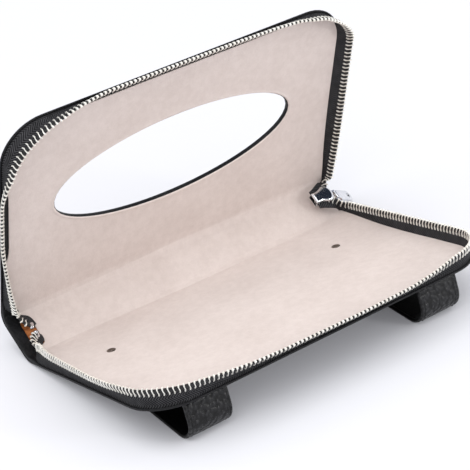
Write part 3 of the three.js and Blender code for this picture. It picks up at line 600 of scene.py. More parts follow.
def makeLining(name, upper, nodes):
    # the panel's pattern, cut back along the spine's left end, at its level and a thickness below it
    inset = lining["inset"]
    rows, widths = panelRows(inset)
    cut = (lining["leftInset"] - inset) * (1 - smooth(rows, *lining["leftStep"]))
    flat, faces = panelPattern(upper, rows, cut - widths, widths, inset, lining["ovalSteps"])
    # cut in along part of the left side, and a little along the cover's front
    by, *span = lining["narrow"]["cover" if upper else "base"]
    x, away = flat[:, 0].copy(), flat[:, 1].copy()
    along = smooth(away, *span[:2]) * (1 - smooth(away, *span[2:]))
    flat[:, 0] += by * smooth(-x, half - lining["side"], half - inset) * along
    if upper:
        flat[:, 1] -= lining["short"] * smooth(away, panel["depth"] - lining["side"], panel["depth"] - inset)
    level = liningLevel(flat, 1.0 if upper else 0.0)
    x, away = flat[:, 0], flat[:, 1]
    low = np.minimum(level, 0) - lining["thickness"]
    piece = makeSheet(name, upper, faces, (x, away), (level, low), "suede", nodes)
    # the cloth is a rectangle less its two round corners, the oval and the strip cut off at the left end
    lost = (4 - math.pi) / 2 * (panel["corner"] - inset) ** 2 + middle * (lining["leftInset"] - inset)
    lost += math.pi * opening["length"] * opening["height"] / 4 if upper else 0


makeLining("liningLower", False, ("base_lining", "spine_lining"))
makeLining("liningUpper", True, ("cover_lining",))
print("linings laid")


# leather: one sheet turned up round the boards and rolled over at the rim, in two pieces as the lining; the
# rim's profile gives inset, upper level and lower level
leather = {"sheetInset": 3.0, "top": -1.95, "under": -2.9, "ovalSteps": (0, 0.25, 0.7, 0.95, 1.12, 2.5),
           "lip": {"rise": 1.83, "from": 0.95, "to": 1.1, "round": 0.25, "width": 0.2},
           "underRound": 0.35, "underWidth": 0.25,
           "rim": ((3.0, -1.95, -2.9), (1.15, -1.95, -2.9), (1.08, -1.6, -2.9), (0.92, -1.42, -2.88),
                   (0.6, -1.34, -2.82), (0.28, -1.4, -2.7), (0.07, -1.62, -2.5), (0, -1.9, -2.3))}


def rimLine(inset):
    # up the left side, round the corner, along the front, round the other corner and down the right side
    rows, widths = panelRows(inset)
    sideLine = np.stack([widths, rows], axis=-1)
    return np.concatenate([sideLine * (-1, 1), frontLine(rows, widths), sideLine[::-1]])


def makeLeather(name, upper, nodes):
    # the sheet lies level, with a lip up round the oval, and the rim's profile is carried round its edge
    inset = leather["sheetInset"]
    rows, widths = panelRows(inset)
    sheet, sheetFaces = panelPattern(upper, rows, -widths, widths, inset, leather["ovalSteps"])
    oval, lip = sheet[:, 2], leather["lip"]
    edge = 1 - smooth(oval, lip["from"], lip["to"])
    high = leather["top"] + lip["rise"] * edge - lip["round"] * bell(oval, lip["width"])
    low = leather["under"] + leather["underRound"] * bell(oval, leather["underWidth"])
    lines = np.stack([rimLine(step[0]) for step in leather["rim"]])
    count, length = lines.shape[:2]
    # the rim's levels ride along as two more columns
    levels = np.repeat(np.array([step[1:] for step in leather["rim"]]), length, axis=0)
    rim = np.column_stack([lines.reshape(-1, 2), np.full(count * length, pattern["far"]), levels])
    flat, faces = welded([(np.column_stack([sheet, high, low]), sheetFaces), (rim, gridFaces(count, length))])
    x, away, _, high, low = flat.T
    return makeSheet(name, upper, faces, (x, away), (high, low), "leather", nodes)


leatherLower = makeLeather("leatherLower", False, ("base_leather", "spine_leather"))
leatherUpper = makeLeather("leatherUpper", True, ("cover_leather",))

hem = {"inset": 0.25, "across": (0, 0.25, 0.8, 2, 3.5, 5, 6.3, 6.9, 7.2, 7.3), "wide": 10, "narrow": 3.4,
       "end": 13, "widening": (-7, -3.5), "narrowing": (2, 13), "low": -0.5, "foot": -1.9, "high": 0.12,
       "lift": 0.3, "lifting": (-6, -2), "soft": 0.3, "softWidth": 0.35, "wrinkle": 0.1, "wave": 4.1,
       "calm": 2, "drop": 1.6, "dropping": (4, 13), "wall": (0.3, 1.2), "least": 0.2}


def makeHem(name, upper):
    # flap turned in over the left end of the spine's board and on through the fold: a low crowned pad with
    # rounded edges, whose outer wall goes down to the rim
    base, end = hem["across"][-1], hem["end"]
    shares = np.array(hem["across"]) / base
    away = np.concatenate([np.linspace(-middle, -bend, 7), np.linspace(-bend, bend, 17)[1:],
                           np.linspace(bend, end, 6)[1:]])
    width = base + (hem["wide"] - base) * smooth(away, *hem["widening"])
    width = width + (hem["narrow"] - hem["wide"]) * smooth(away, *hem["narrowing"])
    across, away = asPoints(shares[:, None] * width, away).reshape(-1, 2).T
    inside = np.minimum(across, np.tile(width, len(shares)) - across)
    level = hem["high"] + hem["lift"] * smooth(away, *hem["lifting"])
    level -= hem["soft"] * np.exp(-inside / hem["softWidth"])
    wrinkle = hem["wrinkle"] * np.sin(away / hem["wave"]) * smooth(inside, 0, hem["calm"])
    level += wrinkle - hem["drop"] * smooth(away, *hem["dropping"])
    wall = hem["foot"] + (hem["low"] - hem["foot"]) * smooth(across, *hem["wall"])
    low = np.minimum(wall, level - hem["least"])
    x, faces = hem["inset"] - half + across, gridFaces(len(shares), len(width))
    makeSheet(name, upper, faces, (x, away), (level, low), "leather", sharp=60)


makeHem("hemLower", False)
makeHem("hemUpper", True)
print("leather turned")


# zip tapes and teeth, followed from the left tail over the spine, round the panel, to the right tail. Leans
# are in degrees outwards: at distances from the fold along the sides, at shares of the width along the front,
# and at two turns round each corner.
tape = {"inset": 1.5, "foot": 7.6, "start": 9, "close": 30, "end": 6.4, "thickness": 0.6, "root": 1.7,
        "tailRoot": 0.3, "cut": 10.5, "bead": (0.8, 1.5, 0.4), "step": 1.0, "soft": 2.0, "fine": 4000,
        "beside": 0.4, "cornerTurns": (0.55, 1.0), "rootShare": -0.2,
        "shares": (0, 0.0, 0.12, 0.26, 0.4, 0.54, 0.68, 0.82, 0.94)}
leans = {"base": {"left": ((9, -22), (14, -15), (20, -3), (30, 8), (43, 13), (60, 18), (78, 23), (95, 21),
                           (105, 15), (113, 8)),
                  "front": ((0, 24), (0.06, 35), (0.12, 44), (0.2, 53), (0.3, 58), (0.6, 62), (0.8, 58),
                            (0.9, 46), (1, 24)),
                  "right": ((6, 7), (113, 12)), "corners": ((2, 6), (16, 14))},
         "cover": {"left": ((9, -18), (18, -4), (27, 8), (38, 19), (50, 30), (62, 38), (90, 39), (98, 34),
                            (106, 20), (113, -2)),
                   "front": ((0, 8), (0.06, 28), (0.12, 42), (0.2, 52), (0.5, 51), (0.7, 49), (0.85, 44),
                             (0.94, 36), (1, 20)),
                   "right": ((6, 14), (30, 29), (50, 40), (80, 45), (113, 45)),
                   "corners": ((-26, -28), (7, 16))}}
# stations of the tails from the panel inwards: inset from the spine's end, run up the spine, and level; the
# right tails mirror each other, so their run counts from the spine's middle
tails = {"leftLower": {"bead": ((5.2, 1.0, 7.6), (5.6, 4.4, 7.0), (7.6, 7.6, 5.5), (10.0, 9.5, 4.0),
                                (12.6, 10.3, 3.2)),
                       "sewn": ((8.5, 1.8, 0.6), (13.2, 4.2, 0.5), (15.2, 6.0, 0.5), (15.3, 7.9, 0.5),
                                (15.0, 9.8, 0.5))},
         "leftUpper": {"bead": ((6.0, 24.8, 7.6), (6.3, 21.4, 7.0), (7.9, 18.5, 5.5), (10.3, 16.8, 4.0),
                                (12.7, 14.8, 3.2)),
                       "sewn": ((9.0, 26.5, 0.6), (13.6, 24.6, 0.5), (15.2, 22.5, 0.5), (15.6, 19.8, 0.5),
                                (16.0, 17.0, 0.5))},
         "right": {"bead": ((3.5, 9.6, 8.4), (3.9, 8.1, 8.1), (4.8, 6.5, 7.8), (7.1, 4.4, 7.6),
                            (9.8, 2.4, 7.6), (13, 1.7, 7.6), (17, 1.7, 7.6)),
                   "sewn": ((2.2, 11, 0.3), (3, 11.1, 2.6), (5.5, 10.7, 5.9), (8, 10, 7.2), (10.7, 8.9, 7.6),
                            (13.6, 7.4, 7.6), (17.2, 6.3, 7.6))}}


def tailStations(end, upper, line):
    # one line of a tail, as places over the spine's end; the root line lies just under the sewn line
    rows = tails["right" if end == "right" else "leftUpper" if upper else "leftLower"]
    inset, run, level = np.array(rows["sewn" if line == "root" else line]).T
    if end == "right":
        run = middle + run if upper else middle - run
    if line == "root":
        level = level - tape["tailRoot"]
    return placed("spine", (half - inset) * (1 if end == "right" else -1), run, level)


def panelStations(upper):
    # the sewn line follows the panel's rounded edge, the bead stands off it by the tape's height, turned out
    # by the lean at that place, and the root is straight below the sewn line
    body, side = ("cover", 1) if upper else ("base", -1)
    lean = {name: np.array(rows).T for name, rows in leans[body].items()}
    width, front = half - tape["inset"], panel["depth"] - tape["inset"]
    radius = panel["corner"] - tape["inset"]
    turns = np.linspace(0, math.pi / 2, 10)[1:-1]
    leftRun = np.concatenate([np.linspace(tape["start"], tape["close"], 9),
                              np.linspace(tape["close"], front - radius, 16)[1:]])
    rightRun = np.linspace(front - radius, tape["end"], 22)
    frontPlace = np.linspace(0, 1, 34)
    leftLean, frontLean = np.interp(leftRun, *lean["left"]), np.interp(frontPlace, *lean["front"])
    rightLean = np.interp(rightRun, *lean["right"])
    ends = ((leftLean[-1], frontLean[0]), (frontLean[-1], rightLean[0]))
    knots = (0, *tape["cornerTurns"], math.pi / 2)
    corners = [np.interp(turns, knots, (first, *between, last))
               for (first, last), between in zip(ends, leans[body]["corners"])]
    angle = np.radians(np.concatenate([leftLean, corners[0], frontLean, corners[1], rightLean]))
    # each stretch gives x, the distance from the fold, and the way out in both
    frontX, cosine, sine = (2 * frontPlace - 1) * (width - radius), np.cos(turns), np.sin(turns)
    cornerX, cornerAway = width - radius + radius * cosine, front - radius + radius * sine
    stretches = [(-width, leftRun, -1, 0), (-cornerX, cornerAway, -cosine, sine), (frontX, front, 0, 1),
                 (cornerX[::-1], cornerAway[::-1], cosine[::-1], sine[::-1]), (width, rightRun, 1, 0)]
    x, away, outX, outY = np.concatenate([asPoints(*each) for each in stretches]).T
    reach = tape["foot"] * np.sin(angle)
    bead = placed(body, x + reach * outX, side * (away + reach * outY), tape["foot"] * np.cos(angle))
    return {"sewn": placed(body, x, side * away, 0 * x), "bead": bead,
            "root": placed(body, x, side * away, 0 * x - tape["root"])}


def throughPoints(lines, knots, at):
    # smooth curve through stations: on each interval a cubic whose end slopes are the mean of the chords'
    # slopes beside that station, each weighted by the other's length
    chord = np.diff(lines, axis=0) / np.diff(knots)[:, None]
    gap = np.diff(knots)[:, None]
    slope = np.empty_like(lines)
    slope[1:-1] = (chord[:-1] * gap[1:] + chord[1:] * gap[:-1]) / (gap[1:] + gap[:-1])
    slope[0], slope[-1] = chord[0], chord[-1]
    i = np.clip(np.searchsorted(knots, at) - 1, 0, len(knots) - 2)
    width = (knots[i + 1] - knots[i])[:, None]
    s = (at - knots[i])[:, None] / width
    return ((2 * s**3 - 3 * s**2 + 1) * lines[i] + (s**3 - 2 * s**2 + s) * width * slope[i]
            + (3 * s**2 - 2 * s**3) * lines[i + 1] + (s**3 - s**2) * width * slope[i + 1])


def softened(line, reach):
    # each point is the bell-weighted mean of its neighbours; past an end the line goes on as its own
    # reflection
    span = int(3 * reach)
    weights = np.exp(-0.5 * (np.arange(-span, span + 1) / reach) ** 2)
    padded = np.concatenate([2 * line[0] - line[span:0:-1], line, 2 * line[-1] - line[-2:-span - 2:-1]])
    return np.stack([np.convolve(column, weights / weights.sum(), "valid") for column in padded.T], axis=-1)


def tapeLines(upper):
    # sewn, bead and root lines at the same fine steps, and the length along the bead
    panelLines = panelStations(upper)
    lines = {name: np.concatenate([tailStations("left", upper, name)[::-1], panelLines[name],
                                   tailStations("right", upper, name)]) for name in ("sewn", "bead", "root")}
    knots = runningLength((lines["sewn"] + lines["bead"]) / 2)
    fine = np.linspace(0, knots[-1], tape["fine"])
    reach = tape["soft"] * mm / fine[1]
    lines = {name: softened(throughPoints(line, knots, fine), reach) for name, line in lines.items()}
    lines["length"] = runningLength(lines["bead"])
    return lines


def sampled(lines, at):
    # at each length along the bead: its place, the sewn line's, the height between them, and the ways across
    # the tape, up it and along it
    lengths, beside = lines["length"], tape["beside"] * mm
    place, low = picked(lines["bead"], lengths, at), picked(lines["sewn"], lengths, at)
    ahead, behind = np.minimum(at + beside, lengths[-1]), np.maximum(at - beside, 0)
    along = normalised(picked(lines["bead"], lengths, ahead) - picked(lines["bead"], lengths, behind))
    rise = place - low
    across = normalised(np.cross(along, normalised(rise)))
    ways = (across, normalised(np.cross(across, along)), along)
    return place, low, np.linalg.norm(rise, axis=-1), ways


def makeTape(name, upper, nodes, lines):
    # the section goes up one face and down the other, in shares of the tape's height, from its root
    total = lines["length"][-1]
    steps = int(total / (tape["step"] * mm))
    at = np.linspace(0, total, steps)
    place, low, rise, (across, _, _) = sampled(lines, at)
    root = picked(lines["root"], lines["length"], at)
    section = np.array(tape["shares"] + tape["shares"][::-1])
    side = np.repeat((0.5, -0.5), len(tape["shares"])) * tape["thickness"] * mm
    points = low[:, None] + ((place - low) / rise[:, None])[:, None] * (section * rise[:, None])[..., None]
    points[:, [0, -1]] = root[:, None]
    points = points + across[:, None] * side[None, :, None]
    section[[0, -1]] = tape["rootShare"]
    spread = asPoints(at[:, None] / mm, section * rise[:, None] / mm).reshape(-1, 2)
    piece = makePiece(name, points, tubeFaces(steps, len(section)), "weave", spread=spread, sharp=35)
    declare(piece, nodes)
    acrossFold(piece)


tooth = {"pitch": 2.8, "first": 0.9, "sway": 0.32, "beadSides": 10, "beadStep": 1.4,
         "levels": (-2.2, -1.95, -0.9, 0.4, 1.5, 2.25, 2.7, 2.8, 2.45),
         "widths": (0.85, 1.1, 1.2, 1.2, 1.15, 1.0, 0.75, 0.42, 0.3),
         "lengths": (0.34, 0.46, 0.5, 0.5, 0.56, 0.62, 0.48, 0.28, 0.2)}
stop = {"place": 1.5, "clear": 0.6, "sway": 0, "levels": (-2.1, -1.8, -0.9, 0.6, 1.7, 2.2, 2.4),
        "widths": (1.1, 1.45, 1.55, 1.55, 1.45, 1.2, 0.8),
        "lengths": (0.9, 1.25, 1.35, 1.35, 1.3, 1.05, 0.65)}
block = {"sides": 8, "square": 0.88}


def blockShape(recipe):
    # rounded block: at each level eight points on a square of its half width and half length there, swayed
    # along the chain by one wave from its legs to its head
    turn = (np.arange(block["sides"]) + 0.5) / block["sides"] * 2 * math.pi
    ring = np.stack([np.cos(turn), np.sin(turn)], axis=-1)
    ring = ring / np.abs(ring).max(axis=1, keepdims=True) * block["square"]
    levels, widths, lengths = (np.array(recipe[word]) for word in ("levels", "widths", "lengths"))
    sway = recipe["sway"] * np.sin((levels - levels[0]) / (levels.max() - levels[0]) * 2 * math.pi)
    across = ring[None, :, 0] * widths[:, None]
    along = ring[None, :, 1] * lengths[:, None] + sway[:, None]
    return asPoints(across, levels[:, None], along).reshape(-1, 3), tubeFaces(len(levels), block["sides"])


def scattered(shape, faces, origins, across, up, along):
    # one shape set at many places: each point is its three steps along the place's own directions
    points = (origins[:, None] + (shape[None, :, 0:1] * across[:, None] + shape[None, :, 1:2] * up[:, None]
                                  + shape[None, :, 2:3] * along[:, None]) * mm)
    starts = range(0, len(shape) * len(origins), len(shape))
    return points.reshape(-1, 3), [[v + start for v in face] for start in starts for face in faces]


def makeChain(name, upper, nodes, lines):
    # teeth counted from the slider, where the two halves mesh half a pitch apart, back to the stop
    total, pitch, sides = lines["length"][-1], tooth["pitch"] * mm, tooth["beadSides"]
    first = total - tooth["first"] * mm - upper * pitch / 2
    at = np.arange(first, (2 * stop["place"] + stop["clear"]) * mm, -pitch)
    place, _, _, ways = sampled(lines, at)
    teeth = scattered(*blockShape(tooth), place, *ways)
    # the bead is the cord the teeth are squeezed on: an ellipse carried along the tape's edge, standing up
    # between the teeth's heads so that its near-black shows in the gaps as painted shade
    beadAt = np.linspace(0, total, int(total / (tooth["beadStep"] * mm)))
    place, _, _, (across, up, _) = sampled(lines, beadAt)
    turn = np.arange(sides) / sides * 2 * math.pi
    wide, high, lift = (value * mm for value in tape["bead"])
    ring = (place[:, None] + across[:, None] * np.cos(turn)[None, :, None] * wide
            + up[:, None] * (np.sin(turn)[None, :, None] * high + lift))
    points, faces = joined([teeth, (ring.reshape(-1, 3), tubeFaces(len(beadAt), sides))])
    picks = [0] * len(teeth[1]) + [1] * (len(faces) - len(teeth[1]))
    beadSpread = asPoints(beadAt[:, None] / mm, turn).reshape(-1, 2)
    spread = np.concatenate([np.zeros((len(teeth[0]), 2)), beadSpread])
    piece = makePiece(name, points, faces, ["toothMetal", "cord"], spread=spread, picks=picks, sharp=45)
    declare(piece, nodes)
    acrossFold(piece)
    place, _, _, ways = sampled(lines, np.array([stop["place"] * mm]))
    shape = scattered(*blockShape(stop), place, *ways)
    clamp = makePiece(name.replace("chain", "stop"), *shape, "brightMetal")
    declare(clamp, ["top_stop_upper" if upper else "top_stop_lower"], "spine")


for upper, word, level in ((False, "base", "lower"), (True, "cover", "upper")):
    lines = tapeLines(upper)
    for make, start, zipNode, tail in ((makeTape, "tape", "zip_tape_", "tape_tail_"),
                                       (makeChain, "chain", "zip_teeth_", "teeth_tail_")):
        nodes = [zipNode + word] + [f"{tail}{end}_{level}" for end in ("left", "right")]
        make(start + level.title(), upper, nodes, lines)
print("zip strung")


# visor straps: each one band, sewn under the base, round the nose and back to its press stud
strap = {"width": 28.5, "thickness": 2.2, "spread": 79.5, "leftShift": 3, "level": -7.2, "stud": 40,
         "tail": 11, "flat": 8, "run": 75, "slope": 14.3, "bend": 3, "nose": 10.5, "top": 3,
         "topHeading": 95, "sewn": 17, "sewnLevel": -4.2, "crease": 12.35, "creaseDepth": 0.2,
         "creaseWidth": 0.22, "pillow": 0.12, "pillowRise": (2, 9), "stitchIn": 3.0, "stitchEnd": 3,
         "wave": 0.12, "waveLength": 11, "waveRise": (5, 30), "ends": (0.45, 0.8, 0.85, 0.5),
         "steps": (14, 5, 44, 22, 7, 12, 12), "fine": 6001, "hingeSpan": (-0.25, 1.6), "hingeLean": 4,
         "section": (0, 0.05, 0.18, 0.42, 0.75, 1.05, 1.4, 1.65, 1.8, 1.9, 2.0, 2.15, 2.4, 3.0, 4.2, 6.5,
                     10, 13.8)}


def strapPath():
    # seen from the side, forward distance and level: level, then straight down the slope, round the nose, up,
    # round the small top and back along the base; the heading turns evenly on each round
    slope, heading = math.radians(strap["slope"]), math.radians(strap["topHeading"])
    rise = strap["sewnLevel"] - strap["top"] * (1 + math.cos(heading))
    noseZ = strap["level"] - strap["run"] * math.sin(slope) + strap["nose"] * math.cos(slope)
    climb = (rise - (noseZ - strap["nose"] * math.cos(heading))) / math.sin(heading)
    # lengths and turns of the pieces of the path
    cut = strap["bend"] / 2
    pieces = [(strap["tail"] + strap["flat"] - cut, 0), (strap["bend"], -slope), (strap["run"] - cut, 0),
              (strap["nose"] * (slope + heading), slope + heading), (climb, 0),
              (strap["top"] * (math.pi - heading), math.pi - heading), (strap["sewn"], 0)]
    lengths, turns = (np.cumsum([0] + [piece[i] for piece in pieces]) for i in (0, 1))
    spans = zip(lengths[:-1], lengths[1:], strap["steps"])
    at = np.unique(np.concatenate([np.linspace(*span) for span in spans]))
    fine = np.linspace(0, lengths[-1], strap["fine"])
    angle = np.interp(fine, lengths, turns)
    mid = (angle[1:] + angle[:-1]) / 2
    forward, level = (start + np.concatenate([[0], np.cumsum(way * fine[1])]) for start, way in
                      ((strap["stud"] - strap["tail"], np.cos(mid)), (strap["level"], np.sin(mid))))
    return {"at": at, "fine": fine, "angle": angle, "forward": forward, "level": level, "hinge": lengths[5]}


strapLine = strapPath()


def strapMiddle(end):
    # one strap on each side of the case's middle, the left one a little further out
    return end * strap["spread"] - (strap["leftShift"] if end < 0 else 0)


def strapFrames(at):
    # forward distance, level and heading at these lengths along the path
    return [np.interp(at, strapLine["fine"], strapLine[name]) for name in ("forward", "level", "angle")]


def strapSection():
    # one face: full thickness between the edges, a half round at each edge, a crease beside it and a slight
    # pillow in the middle; the other face mirrors it
    edge, thick = strap["width"] / 2, strap["thickness"] / 2
    side = np.array(strap["section"])
    a = np.concatenate([side - edge, (edge - side)[::-1]])
    inward = edge - np.abs(a)
    b = thick * np.sqrt(1 - np.clip(1 - inward, 0, 1) ** 2)
    b = b + strap["pillow"] * smooth(inward, *strap["pillowRise"])
    b = b - strap["creaseDepth"] * bell(np.abs(a) - strap["crease"], strap["creaseWidth"])
    return np.concatenate([a, a[1:-1][::-1]]), np.concatenate([b, -b[1:-1][::-1]])


def strapPlace(end, a, forward, level, angle, off):
    # across, along and off the band, towards the outside of its loop
    return placed("base", strapMiddle(end) + a, -(forward + off * np.sin(angle)), level - off * np.cos(angle))


def makeStrap(label, end):
    # the section carried along the path, thinned at both ends, with a slow wave off it
    at = strapLine["at"]
    forward, level, angle = (values[:, None] for values in strapFrames(at))
    a, b = strapSection()
    thin = np.ones(len(forward))
    thin[[0, 1, -2, -1]] = strap["ends"]
    wave = strap["wave"] * np.sin(at / strap["waveLength"] + end) * smooth(at, *strap["waveRise"])
    points = strapPlace(end, a[None, :], forward, level, angle, b[None, :] * thin[:, None] + wave[:, None])
    rows, ring = points.shape[:2]
    faces = tubeFaces(rows, ring)
    # grain outside, smooth flesh side inside
    picks = [int(face[0] % ring > ring // 2) if len(face) == 4 else 1 for face in faces]
    band = makePiece("strap" + label, points, faces, ["strap", "strapBack"], picks=picks, sharp=60)
    declare(band, [f"strap_anchor_{label.lower()}", f"strap_loop_{label.lower()}"])
    hingeBend(band)


def hingeBend(piece):
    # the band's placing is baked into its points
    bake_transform(piece)


# a short thread, narrow where it dives into the leather: place along it, reach and sink
stitch = {"pitch": 3.3, "length": 2.4, "radius": 0.2, "sides": 6, "pillowShare": 0.1, "lift": 0.02,
          "profile": ((-0.5, 0.3, -0.3), (-0.42, 0.75, -0.1), (-0.25, 1, 0), (0.25, 1, 0), (0.42, 0.75, -0.1),
                      (0.5, 0.3, -0.3))}


def stitchShape():
    # six-sided rings carried along the thread
    along, reach, sink = np.array(stitch["profile"]).T[..., None]
    turn = np.arange(stitch["sides"]) / stitch["sides"] * 2 * math.pi
    reach = reach * stitch["radius"]
    shape = asPoints(reach * np.cos(turn), reach * np.sin(turn) + sink, along * stitch["length"])
    return shape.reshape(-1, 3), tubeFaces(len(along), stitch["sides"])


def strapThread(label, end):
    # a row of stitches beside each edge of the band, on its outer face
    clear = strap["stitchEnd"]
    forward, level, angle = strapFrames(np.arange(clear, strapLine["at"][-1] - clear, stitch["pitch"]))
    off = strap["thickness"] / 2 + strap["pillow"] * stitch["pillowShare"] + stitch["lift"]
    side = strap["width"] / 2 - strap["stitchIn"]
    spots = [strapPlace(end, sign * side, forward, level, angle, off) for sign in (-1, 1)]
    ways = ((-np.cos(angle), np.sin(angle)), (-np.sin(angle), -np.cos(angle)))
    along, up = (np.tile(np.stack([0 * angle, *turned(baseAngle, *way)], axis=-1), (2, 1)) for way in ways)
    points, faces = scattered(*stitchShape(), np.concatenate(spots), np.cross(up, along), up, along)
    thread = makePiece("strapThread" + label, points, faces, "thread")
    declare(thread)
    hingeBend(thread)


for label, end in (("Left", -1), ("Right", 1)):
    makeStrap(label, end)
    strapThread(label, end)

seam = {"inset": 3.0, "start": 6, "level": -2.95, "end": 2, "beside": 0.5}


def seamThread(name, upper):
    # one row of stitches on the outside of a panel, where tape and leather are sewn
    line = rimLine(seam["inset"])
    line = line[line[:, 1] > seam["start"]]
    length = runningLength(line)
    at = np.arange(seam["end"], length[-1] - seam["end"], stitch["pitch"])
    spot, beside = picked(line, length, at), seam["beside"]
    way = normalised(picked(line, length, at + beside) - picked(line, length, at - beside))
    body, side = ("cover", 1) if upper else ("base", -1)
    x, run = spot[:, 0], side * spot[:, 1]
    origins = placed(body, x, run, seam["level"])
    along = normalised(placed(body, x + way[:, 0], run + side * way[:, 1], seam["level"]) - origins)
    up = normalised(placed(body, x, run, seam["level"] - 1) - origins)
    points, faces = scattered(*stitchShape(), origins, np.cross(up, along), up, along)
    declare(makePiece(name, points, faces, "thread"), body=body)


seamThread("seamLower", False)
seamThread("seamUpper", True)
print("straps sewn")


# press studs, turned from their side profiles: radius and level
studs = {"setback": 40, "leftShift": 4.3, "segments": 40, "weld": 0.004, "sliver": 0.001,
         "post": ((0, -5.0), (1.2, -5.0), (1.2, -0.6), (2.6, -0.55), (2.75, -0.3), (2.7, 0.1), (2.45, 0.34),
                  (2.1, 0.4), (1.7, 0.3), (1.2, 0.1), (0.5, 0.02), (0, 0.0)),
         "nose": ((1.4, -5.2), (1.75, -5.2), (2.1, -4.95), (2.15, -4.6), (1.9, -4.0), (1.95, -3.7),
                  (2.4, -3.6), (4.3, -3.58), (4.5, -3.4), (4.5, -3.15), (1.4, -3.1), (1.4, -5.2)),
         "socket": ((2.4, -5.9), (5.2, -5.9), (5.2, -4.5), (4.95, -4.05), (4.4, -3.95), (3.0, -3.95),
                    (2.6, -4.1), (2.4, -4.5), (2.4, -5.9)),
         "cap": ((0, -9.7), (1.5, -9.66), (3.0, -9.45), (4.2, -9.1), (4.95, -8.75), (5.2, -8.6),
                 (5.15, -8.52), (1.2, -8.5), (1.2, -6.1), (0, -6.1))}


def makeTurned(name, body, x, profile, node):
    # each profile point goes once round the stud's axis; points on the axis are poles
    radius, level = np.array(profile).T[..., None]
    turn = np.arange(studs["segments"]) / studs["segments"] * 2 * math.pi
    points = placed("base", x + radius * np.cos(turn), -studs["setback"] + radius * np.sin(turn), level)
    faces = gridFaces(len(level), len(turn), closed=True)
    piece = makePiece(name, points, faces, "studMetal", sharp=50)
    work = bmesh.new()
    work.from_mesh(piece.data)
    bmesh.ops.remove_doubles(work, verts=work.verts, dist=studs["weld"] * mm)
    bmesh.ops.dissolve_degenerate(work, edges=work.edges, dist=studs["sliver"] * mm)
    bmesh.ops.recalc_face_normals(work, faces=work.faces)
    work.to_mesh(piece.data)
    work.free()
    declare(piece, [node], body)


for label, end in (("left", -1), ("right", 1)):
    x = end * strap["spread"] - (studs["leftShift"] if end < 0 else 0)
    for part in ("post", "nose", "socket", "cap"):
        body = "base" if part in ("post", "nose") else "strap_" + label
        makeTurned("stud" + part.title() + label.title(), body, x, studs[part], f"stud_{part}_{label}")
print("studs turned")


# slider: two plates with rounded edges, their rails, the wedge between them and the bridge for the bail
slider = {"inset": 18.2, "length": 14, "tail": 7.8, "shoulder": 11.4, "plate": 1.2, "channel": 3.2,
          "rail": 1.1, "waist": 0.25, "widest": 0.72, "floor": 6.0, "track": 3.4, "steps": 26,
          "pointed": 6, "railShare": 0.56, "railInset": 0.05, "railSink": 0.5, "wedgeShare": 0.8,
          "wedge": (1.9, 0.9), "overlap": 0.4,
          "soft": ((0, 0.0), (0, 0.25), (0.1, 0.42), (1.1, 0.9), (1.3, 0.98), (1.55, 1.0))}
bridge = {"pivotInset": 10.1, "level": 3.65, "wall": 0.6, "wallShare": 0.45, "width": 3.0, "wire": 1.0,
          "gap": 0.3, "foot": 1.1, "rise": 1.35, "stretch": 1.15, "fullness": 0.8,
          "section": ((-1, -0.6), (-0.9, -1), (0.9, -1), (1, -0.6), (1, 0.6), (0.9, 1), (-0.9, 1), (-1, 0.6))}


def sliderHalf(share):
    # narrow square tail, smooth flare to the shoulders, then half an ellipse to the nose
    tail, shoulder, waist, widest = (slider[word] for word in ("tail", "shoulder", "waist", "widest"))
    flare = tail + (shoulder - tail) * smooth(share, waist, widest)
    nose = np.clip((share - widest) / (1 - widest), 0, 1)
    return np.where(share > widest, shoulder * np.sqrt(1 - nose**2), flare) / 2


def sliderRing(inset):
    # outline drawn in by the inset, less so at the pointed nose; its steps close up towards the nose
    share = np.sin(np.linspace(0, math.pi / 2, slider["steps"] + 1))
    along = half - slider["inset"] + inset + share * (slider["length"] - 2 * inset)
    side = np.maximum(sliderHalf(share) - inset * np.sqrt(np.clip(1 - share ** slider["pointed"], 0, 1)), 0)
    x = np.concatenate([along, along[:-1][::-1]])
    return x, middle + np.concatenate([-side, side[:-1][::-1]])


def stackedRings(rings):
    # equal outlines at their levels, joined into one closed skin with a flat face at each end
    points = np.concatenate([placed("spine", x, y, float(level)) for (x, y), level in rings])
    return points, tubeFaces(len(rings), len(rings[0][0][0]))


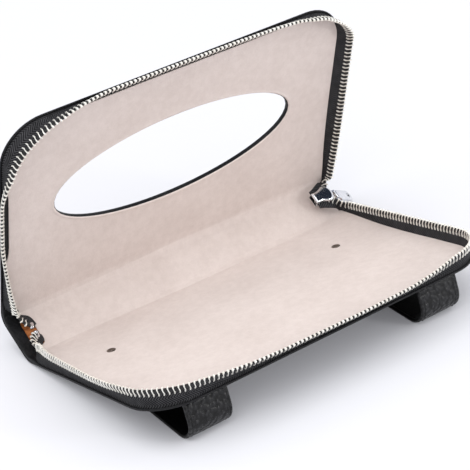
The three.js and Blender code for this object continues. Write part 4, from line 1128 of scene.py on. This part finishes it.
def makeSlider():
    # lower and upper plate, a rail on each side of both, the wedge, and the bridge under the lower plate
    floor, roof, plate = slider["floor"], slider["floor"] + slider["channel"], slider["plate"]
    skins = [stackedRings([(sliderRing(inset), level + way * plate * rise) for inset, rise in slider["soft"]])
             for level, way in ((floor, -1), (roof, 1))]
    share = np.linspace(0, slider["railShare"], 12)
    for sign in (-1, 1):
        along = half - slider["inset"] + slider["length"] * share
        x = np.concatenate([along, along[::-1]])
        outer, inner = sliderHalf(share) - slider["railInset"], np.full(len(share), slider["track"])
        outline = (x, middle + sign * np.concatenate([outer, inner]))
        for level, way in ((floor, -1), (roof, 1)):
            spans = sorted((level + way * slider["railSink"], level - way * slider["rail"]))
            skins.append(stackedRings([(outline, edge) for edge in spans]))
    centre = half - slider["inset"] + slider["length"] * slider["wedgeShare"]
    turn = np.linspace(0, 2 * math.pi, 25)[:-1]
    wedge = (centre + slider["wedge"][0] * np.cos(turn), middle + slider["wedge"][1] * np.sin(turn))
    skins.append(stackedRings([(wedge, floor - slider["overlap"]), (wedge, roof + slider["overlap"])]))
    piece = makePiece("sliderBody", *joined(skins + [sliderBridge()]), "brightMetal", sharp=35)
    declare(piece, ["slider_body"], "spine")


def sliderBridge():
    # a strap of metal bent round the bail: its centre line is a half ring with two feet on the lower plate
    turn = np.linspace(0, math.pi, 15)
    radius = (bridge["wire"] / 2 + bridge["gap"]) + bridge["wallShare"] * bridge["wall"]
    foot, level = radius + bridge["foot"], bridge["level"]
    top = level + bridge["rise"]
    x = np.concatenate([[-foot], -radius * np.cos(turn) * bridge["stretch"], [foot]])
    z = np.concatenate([[top], level - radius * np.sin(turn) ** bridge["fullness"], [top]])
    heading = np.arctan2(np.gradient(z), np.gradient(x))
    wide, thick = (np.array(bridge["section"]) * (bridge["width"] / 2, bridge["wall"] / 2)).T
    along = half - bridge["pivotInset"] + x[:, None] + thick * np.sin(heading)[:, None]
    points = placed("spine", along, middle + wide, z[:, None] - thick * np.cos(heading)[:, None])
    return points.reshape(-1, 3), tubeFaces(len(x), len(wide))


makeSlider()


# nodes that keep their own shape: softened edges and their finish
kept = {"base_board": "darkBoard", "cover_board": "darkBoard", "spine_board": "orangeBoard",
        "pull_bail": "brightMetal", "pull_tab": "brightMetal"}
edgeWidth = {"darkBoard": 0.1, "orangeBoard": 0.1, "brightMetal": 0.2}
for name, finish in kept.items():
    node = frame["nodes"][name]
    for socket in node.material_slots:
        socket.material = paints[finish]
    bevel = node.modifiers.new("softEdge", "BEVEL")
    bevel.width, bevel.segments, bevel.limit_method = edgeWidth[finish] * mm, 2, "ANGLE"
    bevel.angle_limit = math.radians(30)
print("slider and kept nodes finished")
